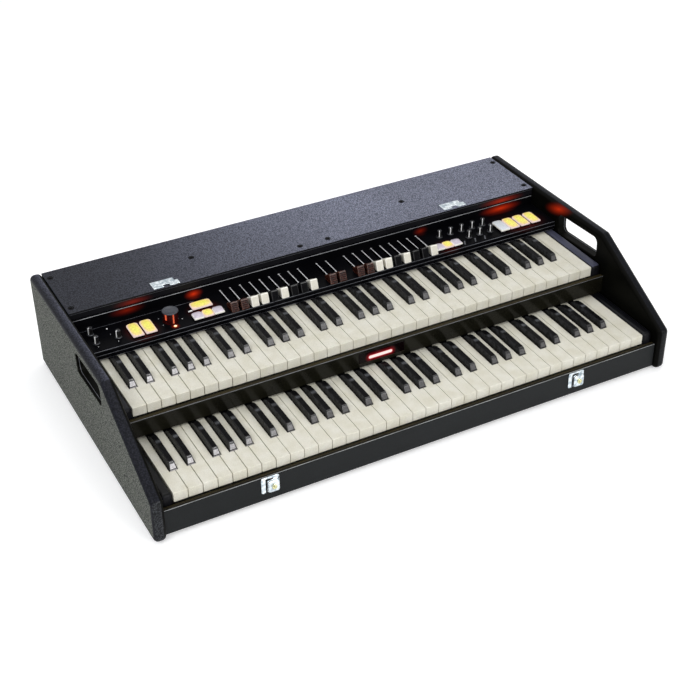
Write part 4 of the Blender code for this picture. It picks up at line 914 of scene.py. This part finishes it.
vibrato = {
    "centre": (-291.2, 337.8), "radius": 13.7, "barrel": 12.9, "height": 20.5, "shaft": 3.0,
    # painted streaks of lamp light on the barrel: angle from the front, degrees, and how far down
    # they reach
    "paintedStreaks": ((-56.0, 11.0), (2.5, 17.0)),
}
panelTop = panelLook["top"]


def drawbarPlaces(group):
    count, centre = drawbarLook["groups"][group]
    return [centre + (index - (count - 1) / 2) * drawbarLook["pitch"] for index in range(count)]


def panelSection(look):
    # bent sheet seen from its end: lip, front bend, top and upstand
    front, top, bend, sheet = look["front"], look["top"], look["bend"], look["sheet"]
    outer = [(front, top - look["lip"])]
    inner = [(front + sheet, top - look["lip"])]
    for y, z in quarter(8):
        outer.append((front + bend - bend * y, top - bend + bend * z))
        inner.append((front + bend - (bend - sheet) * y, top - bend + (bend - sheet) * z))
    high = top + look["upstand"]
    outer += [(look["back"], top), (look["back"], high)]
    inner += [(look["back"] + sheet, top - sheet), (look["back"] + sheet, high)]
    return outer + inner[::-1]


def panelSheet(look):
    bm = bmesh.new()
    prism(bm, panelSection(look), -look["half"], look["half"], "x")
    cutter = bmesh.new()
    low, high = panelTop - 5, panelTop + 5
    half, start, end = drawbarLook["slotWidth"] / 2, drawbarLook["slotStart"], drawbarLook["slotEnd"]
    for group in drawbarLook["groups"]:
        for x in drawbarPlaces(group):
            block(cutter, (x - half, start, low), (x + half, end, high))
    left, front, right, back = look["tabHole"]
    block(cutter, (left, front, low), (right, back, high))
    turned(cutter, (*vibrato["centre"], low), [(look["shaftHole"], 0.0), (look["shaftHole"], 10.0)], 24)
    bm = carved(bm, cutter)
    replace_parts(makePiece("panelSheet", bm, "powderCoat", "case", 0.25, 2, 50), "control_panel")


def panelPrint(look):
    # a scale line with a round end beside each drawbar, and the line behind the left controls
    bm = bmesh.new()
    half, start, end = drawbarLook["scaleWidth"] / 2, drawbarLook["scaleStart"], drawbarLook["scaleEnd"]
    for group in drawbarLook["groups"]:
        for place in drawbarPlaces(group):
            x = place + drawbarLook["scaleShift"]
            block(bm, (x - half, start, panelTop - 0.1), (x + half, end, panelTop + 0.08))
            turned(bm, (x, end, panelTop - 0.1), [(drawbarLook["dot"], 0.0), (drawbarLook["dot"], 0.25)], 16)
    makePiece("scalePrint", bm, "printInk")
    bm = bmesh.new()
    y, half, end = look["line"]
    block(bm, (-look["half"] + 1, y - half, panelTop - 0.1), (end, y + half, panelTop + 0.1))
    makePiece("panelLine", bm, "rubbedBend")


def drawbars(look):
    # caps with a leaning front plate, and a stem under each
    front, half = look["front"], look["capWidth"] / 2
    side = [(front, panelTop + 0.3), (front + look["foot"], panelTop + 0.3)]
    side += [(front + y, panelTop + z) for y, z in look["side"]]
    for group in look["groups"]:
        for index, x in enumerate(drawbarPlaces(group)):
            colour = "brown" if group == "bass" else look["order"][index]
            moving = group == "upper"
            body = f"upper_drawbar_{index + 1}" if moving else "case"
            bm = bmesh.new()
            prism(bm, side, x - half, x + half, "x")
            cap = makePiece(f"{group}Cap{index + 1}", bm, capFinish[colour], body, look["round"], 4, edge=1)
            bm = bmesh.new()
            for wide, start, end, low, high in look["stem"]:
                near, far = front + start, front + end
                block(bm, (x - wide, near, panelTop + low), (x + wide, far, panelTop + high))
            makePiece(f"{group}Stem{index + 1}", bm, "nickelPlate", body)
            if moving:
                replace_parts(cap, body)


panelSheet(panelLook)
panelPrint(panelLook)
drawbars(drawbarLook)
print("panel and drawbars made")


# Rocker tabs: a pale top plate on a black body

tabLook = {
    "rise": 7.0, "crown": 1.4, "cross": 0.4, "plate": 2.6, "back": 5.2, "front": 0.8, "reveal": 0.2,
    # rings of the top plate: how far in and how far down, before the last at the middle
    "rings": [(0.0, 2.6), (0.0, 0.7), (0.2, 0.25), (0.6, 0.03), (1.5, 0.0), (3.5, 0.0), (6.0, 0.0)],
    "rim": 0.75,
}
tabs = {
    # name: centre x, centre y, width, depth, finish of its top plate
    "longTab2": (-331.5, 334.5, 19.0, 38.0, "litTabAcrylic"),
    "longTab3": (343.0, 336.0, 19.0, 35.4, "ribbedAcrylic"),
    "longTab4": (363.5, 336.0, 19.0, 35.4, "litTabAcrylic"),
    "longTab5": (385.5, 336.0, 19.0, 35.4, "litTabAcrylic"),
    "longTab6": (408.0, 336.0, 19.0, 35.4, "litTabAcrylic"),
    "crossTab": (-232.0, 354.5, 35.4, 20.0, "litTabAcrylic"),
    "bassTab1": (-249.8, 324.8, 17.4, 19.2, "milkAcrylic"),
    "bassTab2": (-231.8, 324.8, 17.4, 19.2, "litTabAcrylic"),
    "bassTab3": (-213.8, 324.8, 17.4, 19.2, "milkAcrylic"),
    "lowTab1": (206.3, 324.8, 17.1, 19.2, "milkAcrylic"),
    "lowTab2": (224.0, 324.8, 17.1, 19.2, "litTabAcrylic"),
    "lowTab3": (241.7, 324.8, 17.1, 19.2, "milkAcrylic"),
    "longTab1": (-353.5, 334.5, 19.0, 38.0, "litTabAcrylic"),
}


def tabRing(x, y, width, depth, inset, drop, look):
    # one ring of a tab's top, moved inwards and down from the crowned surface
    radii = [max(r - inset, 0.15) for r in (look["front"], look["front"], look["back"], look["back"])]
    points = []
    for dx, dy in roundOutline(oblong(width - 2 * inset, depth - 2 * inset), radii, 0.0, 5):
        level = look["rise"] - look["crown"] * (2 * dy / depth) ** 2 - look["cross"] * (2 * dx / width) ** 2
        points.append((x + dx, y + dy, panelTop + level - drop))
    return points


def rockerTabs(places, look):
    for name, (x, y, width, depth, finish) in places.items():
        moving = name == "longTab1"
        body = "rocker_tab" if moving else "case"
        rings = look["rings"] + [(min(width, depth) / 2 - 0.6, 0.0)]
        bm = bmesh.new()
        faces = loft(bm, [tabRing(x, y, width, depth, look["reveal"] + inset, drop, look)
                          for inset, drop in rings])
        for face in faces[:len(faces) - 2]:
            # the rim is a finish of its own, outside this line
            middle = face.calc_center_median()
            inside = min(width / 2 - abs(middle.x - x), depth / 2 - abs(middle.y - y))
            face.material_index = 1 if inside < look["rim"] else 0
        # the unlit tabs' rims take a painted highlight; a lit tab's rim is its lamp's light
        rim = "litRimAcrylic" if finish == "litTabAcrylic" else "whiteEdgeAbs"
        top = makePiece(name, bm, [finish, rim], body, limit=60)
        bm = bmesh.new()
        rim = tabRing(x, y, width, depth, 0.0, look["plate"] + 0.1, look)
        base = panelTop - (4.0 if moving else 0.4)
        loft(bm, [[(px, py, base) for px, py, pz in rim], rim])
        makePiece(f"{name}Body", bm, "blackAbs", body, limit=60)
        if moving:
            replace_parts(top, body)


rockerTabs(tabs, tabLook)
print("rocker tabs made")


# Knobs, lamps and small levers

knobLook = {
    "skirt": 5.8, "barrel": 4.2, "height": 14.5, "pointer": 1.5,
    # centre x, centre y, degrees that the pointer is turned from the front
    "places": (
        (-419.0, 361.0, -55), (-419.0, 332.5, -38), (-382.2, 332.5, -60),
        (229.0, 360.0, -32), (252.0, 360.0, -32), (274.8, 360.0, -32), (297.2, 360.0, -32),
        (319.2, 360.0, -32),
        (274.5, 334.0, -32), (297.0, 334.0, -32), (319.2, 334.0, -32),
    ),
}
lampLook = {
    # centre x, centre y, radius
    "markPaint": ((-390.3, 364.7, 1.4),),
    "greyEnamel": ((-307.0, 352.1, 1.0), (-307.1, 331.0, 1.0), (-390.4, 347.3, 0.9)),
    "printInk": ((-273.0, 334.0, 1.1), (-419.4, 322.4, 0.7), (-385.8, 322.4, 0.7)),
    "litLampAcrylic": ((-290.6, 319.5, 2.7),),
}
leverLook = {
    # toggle lying over to the left, its bush, and three slide levers that lean back
    "toggle": ((-250.4, 345.6, 2.2), [(0.9, 0.0), (1.4, -0.6), (1.3, -6.6), (0.7, -7.2)]),
    "bush": ((-252.6, 352.4, 0.0), [(2.4, -0.3), (2.4, 0.9), (1.6, 1.1), (1.5, 0.6)]),
    "slides": ((297.5, 316.4), (277.6, 316.8), (255.8, 316.9)),
    "lean": ((-1.2, -0.2), (1.2, -0.2), (3.4, 5.0), (2.2, 5.4)), "half": 1.2,
}


def smallKnobs(look):
    bm = bmesh.new()
    marks = bmesh.new()
    high, reach, half = look["height"], look["barrel"], look["pointer"] / 2
    steps = [
        (look["skirt"], 0.0), (look["skirt"], 1.6), (look["skirt"] - 0.5, 2.4), (reach + 0.2, 3.2),
        (reach, 5.0), (reach * 0.93, high - 0.6), (reach * 0.80, high),
    ]
    for x, y, angle in look["places"]:
        for index, face in enumerate(turned(bm, (x, y, panelTop), steps)):
            # the skirt's edge and the top's rim take a painted highlight where they catch the room
            face.material_index = 1 if index // 32 in (1, 5) else 0
        turn = Matrix.Translation((x, y, panelTop)) @ Matrix.Rotation(math.radians(angle), 4, "Z")
        start = len(marks.verts)
        block(marks, (-half, -reach - 0.5, 2.6), (half, -reach * 0.85, high - 0.1))
        block(marks, (-half * 0.6, -reach * 0.9, high - 0.5), (half * 0.6, -reach * 0.3, high + 0.12))
        marks.verts.ensure_lookup_table()
        for vert in marks.verts[start:]:
            vert.co = turn @ vert.co
    makePiece("smallKnobs", bm, ["knobAbs", "knobEdgeAbs"])
    makePiece("knobPointers", marks, "markPaint")


def vibratoKnob(look):
    # dished cap on a smoked red barrel with two painted streaks of lamp light
    bm = bmesh.new()
    centre = (*look["centre"], panelTop)
    radius, wall, high, shaft = look["radius"], look["barrel"], look["height"], look["shaft"]
    steps = [(shaft, -8.0), (shaft, 0.3), (wall, 0.3)]
    steps += [(wall - 0.02 * level, level) for level in range(1, int(high) - 1)]
    for face in turned(bm, centre, steps, 90, "z", 1):
        here = face.calc_center_median() - Vector(centre)
        angle = math.degrees(math.atan2(here.x, -here.y))
        for turn, reach in look["paintedStreaks"]:
            if here.length > 10 and high - 2.0 - reach < here.z < high - 2.5 and abs(angle - turn) < 9.0:
                face.material_index = 2 if abs(angle - turn) < 4.5 else 3
    cap = [(radius - 0.8, high - 2.2), (radius - 0.3, high - 1.6), (radius - 0.5, high - 0.6),
           (radius - 1.1, high - 0.1), (radius - 1.9, high), (radius - 2.6, high - 0.5), (1.0, high - 0.4)]
    turned(bm, centre, cap, 72)
    looks = ["capAbs", "smokedAcrylic", "paintedStreakAcrylic", "paintedDimStreakAcrylic"]
    piece = makePiece("vibratoKnob", bm, looks, "vibrato_knob")
    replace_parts(piece, "vibrato_knob")


def smallLamps(looks):
    for finish, places in looks.items():
        bm = bmesh.new()
        for x, y, radius in places:
            dome = [(radius, -0.3), (radius, 0.3), (radius * 0.85, 0.7), (radius * 0.5, 1.0)]
            dome.append((radius * 0.1, 1.1))
            turned(bm, (x, y, panelTop), dome, 16)
        makePiece(f"{finish}Lamps", bm, finish)


def levers(look):
    for name, part, sides, axis, finish in (
        ("toggleLever", "toggle", 16, "x", "markPaint"), ("toggleBush", "bush", 20, "z", "blackOxide"),
    ):
        (x, y, rise), steps = look[part]
        bm = bmesh.new()
        turned(bm, (x, y, panelTop + rise), steps, sides, axis)
        makePiece(name, bm, finish)
    bm = bmesh.new()
    for x, y in look["slides"]:
        lean = [(y + dy, panelTop + dz) for dy, dz in look["lean"]]
        prism(bm, lean, x - look["half"], x + look["half"], "x")
    makePiece("slideLevers", bm, "knobEdgeAbs", "case", 0.3, 2)


smallKnobs(knobLook)
vibratoKnob(vibrato)
smallLamps(lampLook)
levers(leverLook)
print("knobs, lamps and levers made")


# Nickel-plated fittings and screws

fittingLook = {
    "places": {"left": -275.0, "right": 280.6}, "keeperShift": {"left": 0.0, "right": -3.0},
    "keeperTop": 175.0, "catchMiddle": 34.0, "plateFace": 7.1,
    # screws of a keeper: from its middle, y, radius
    "keeperScrews": ((-15.5, 401.0, 1.3), (13.5, 401.5, 1.6), (-15.0, 391.8, 1.4), (13.0, 391.5, 1.2)),
    # lock ring: from the catch's middle, face of the lever behind it, turned steps
    "lock": (4.5, -3.0), "catchFace": 3.1,
    "ring": [(4.0, 1.4), (4.0, -0.2), (3.6, -0.5), (0.8, -0.5), (0.5, -0.2)],
    # painted shade in the slot beside the lever, and in the recesses over and under it: left, right,
    # low, high
    "recesses": ((-8.0, -5.2, -13.8, 11.4), (-5.2, 4.4, 8.2, 11.4), (-6.4, 5.0, -14.6, -13.5)),
}
lidScrewLook = {
    # each place stands for one screw on either side
    "places": ((434.5, 505.0), (434.0, 400.0), (204.7, 454.0), (26.6, 399.5)), "level": 173.2,
    "washer": [(5.3, -0.2), (5.3, 0.15), (4.7, 0.45), (3.7, 0.2), (3.6, -0.1)], "head": 3.4,
}


def screwHead(bm, centre, radius, axis="z"):
    # low dome
    dome = [(radius, -0.2), (radius, 0.25), (radius * 0.8, 0.75), (radius * 0.4, 0.95)]
    turned(bm, centre, dome, 20, axis)


def lidScrewSet(look):
    # sunk cup washers with a screw in each
    bm = bmesh.new()
    for x, y in look["places"]:
        for side in (-1, 1):
            turned(bm, (side * x, y, look["level"]), look["washer"])
            screwHead(bm, (side * x, y, look["level"] - 0.1), look["head"])
    makePiece("lidScrews", bm, "blackOxide")


def catchParts(word, x, look):
    # brass lock ring, and painted shade for its keyhole and for the plate's slot and recesses round
    # the lever
    level, face, plate = look["catchMiddle"], look["catchFace"], look["plateFace"]
    lockX, lockZ = x + look["lock"][0], level + look["lock"][1]
    ring = bmesh.new()
    turned(ring, (lockX, face - 1.5, lockZ), look["ring"], 32, "y")
    makePiece(f"{word}LockRing", ring, "turnedBrass")
    dark = bmesh.new()
    block(dark, (lockX - 1.8, face - 2.15, lockZ + 0.2), (lockX - 1.0, face - 1.2, lockZ + 1.9))
    turned(dark, (lockX - 1.4, face - 1.2, lockZ + 1.9), [(0.8, 0.0), (0.8, -0.95)], 16, "y")
    for left, right, low, high in look["recesses"]:
        block(dark, (x + left, plate - 0.12, level + low), (x + right, plate + 0.3, level + high))
    makePiece(f"{word}CatchPaintedShade", dark, "blackOxide")


def fittings(look):
    for word, x in look["places"].items():
        softened(f"lid_keeper_{word}", "brightNickel", 0.4)
        softened(f"front_catch_{word}", "brightNickel", 0.6)
        bm = bmesh.new()
        middle = x + look["keeperShift"][word]
        for dx, y, radius in look["keeperScrews"]:
            steps = [(radius, -0.4), (radius, 0.10), (radius * 0.7, 0.25)]
            turned(bm, (middle + dx, y, look["keeperTop"]), steps, 16)
        makePiece(f"{word}KeeperScrews", bm, "nickelPlate")
        catchParts(word, x, look)


lidScrewSet(lidScrewLook)
fittings(fittingLook)
print("fittings made")


# Rear connectors, switch and circuit board

rearLook = {
    "centre": (100.0, 72.0), "face": 528.8, "jacks": (-90.0, -66.0, -42.0, -18.0), "jackLevel": 14.0,
    "nut": [(4.6, 1.7), (4.6, 2.6), (4.2, 2.9), (3.4, 2.9), (3.3, 1.7)],
    "rounds": (-90.0, -60.0), "roundLevel": -14.0, "pinCircle": 4.0,
    # places of the inlet's pins and of the corner screws, from the plate's middle
    "pins": ((84.0, -10.0), (96.0, -10.0), (90.0, -15.0)), "corner": (115.0, 26.0), "screw": 2.6,
    # board that the sockets stand on: left, right, half height, front and back
    "board": (-104.0, -4.0, 27.0, 506.0, 507.6), "socketFront": 517.5,
}


def rearParts(look):
    # nuts round the jacks, pins in the round sockets and the inlet, a screw at each corner
    x0, z0 = look["centre"]
    face = look["face"]
    metal = bmesh.new()
    for dx in look["jacks"]:
        turned(metal, (x0 + dx, face, z0 + look["jackLevel"]), look["nut"], 32, "y")
    for dx in look["rounds"]:
        for step in range(5):
            angle, reach = math.radians(180 + 45 * step), look["pinCircle"]
            px, pz = x0 + dx + reach * math.cos(angle), z0 + look["roundLevel"] + reach * math.sin(angle)
            turned(metal, (px, face - 4.0, pz), [(0.6, -3.0), (0.6, 2.6), (0.3, 3.0)], 12, "y")
    for dx, dz in look["pins"]:
        px, pz = x0 + dx, z0 + dz
        block(metal, (px - 1.0, face - 13.0, pz - 2.0), (px + 1.0, face - 2.0, pz + 2.0))
    wide, tall = look["corner"]
    for dx in (-wide, wide):
        for dz in (-tall, tall):
            screwHead(metal, (x0 + dx, face, z0 + dz), look["screw"], "y")
    makePiece("rearMetal", metal, "nickelPlate", "case", 0.15, 2)
    # the board that the sockets stand on, inside, with their bodies
    board = bmesh.new()
    left, right, half, near, far = look["board"]
    block(board, (x0 + left, near, z0 - half), (x0 + right, far, z0 + half))
    for dx in look["jacks"]:
        block(board, (x0 + dx - 9.0, far, z0 + 5.0), (x0 + dx + 9.0, look["socketFront"], z0 + 23.0))
    for dx in look["rounds"]:
        block(board, (x0 + dx - 10.0, far, z0 - 24.0), (x0 + dx + 10.0, look["socketFront"], z0 - 4.0))
    makePiece("socketBoard", board, "knobAbs", "case", 0.4, 2)


paintNode("rear_connector_plate", "powderCoat")
paintNode("power_switch", "blackAbs")
paintNode("main_circuit_board", "solderMask")
rearParts(rearLook)
print("rear and inside finished")
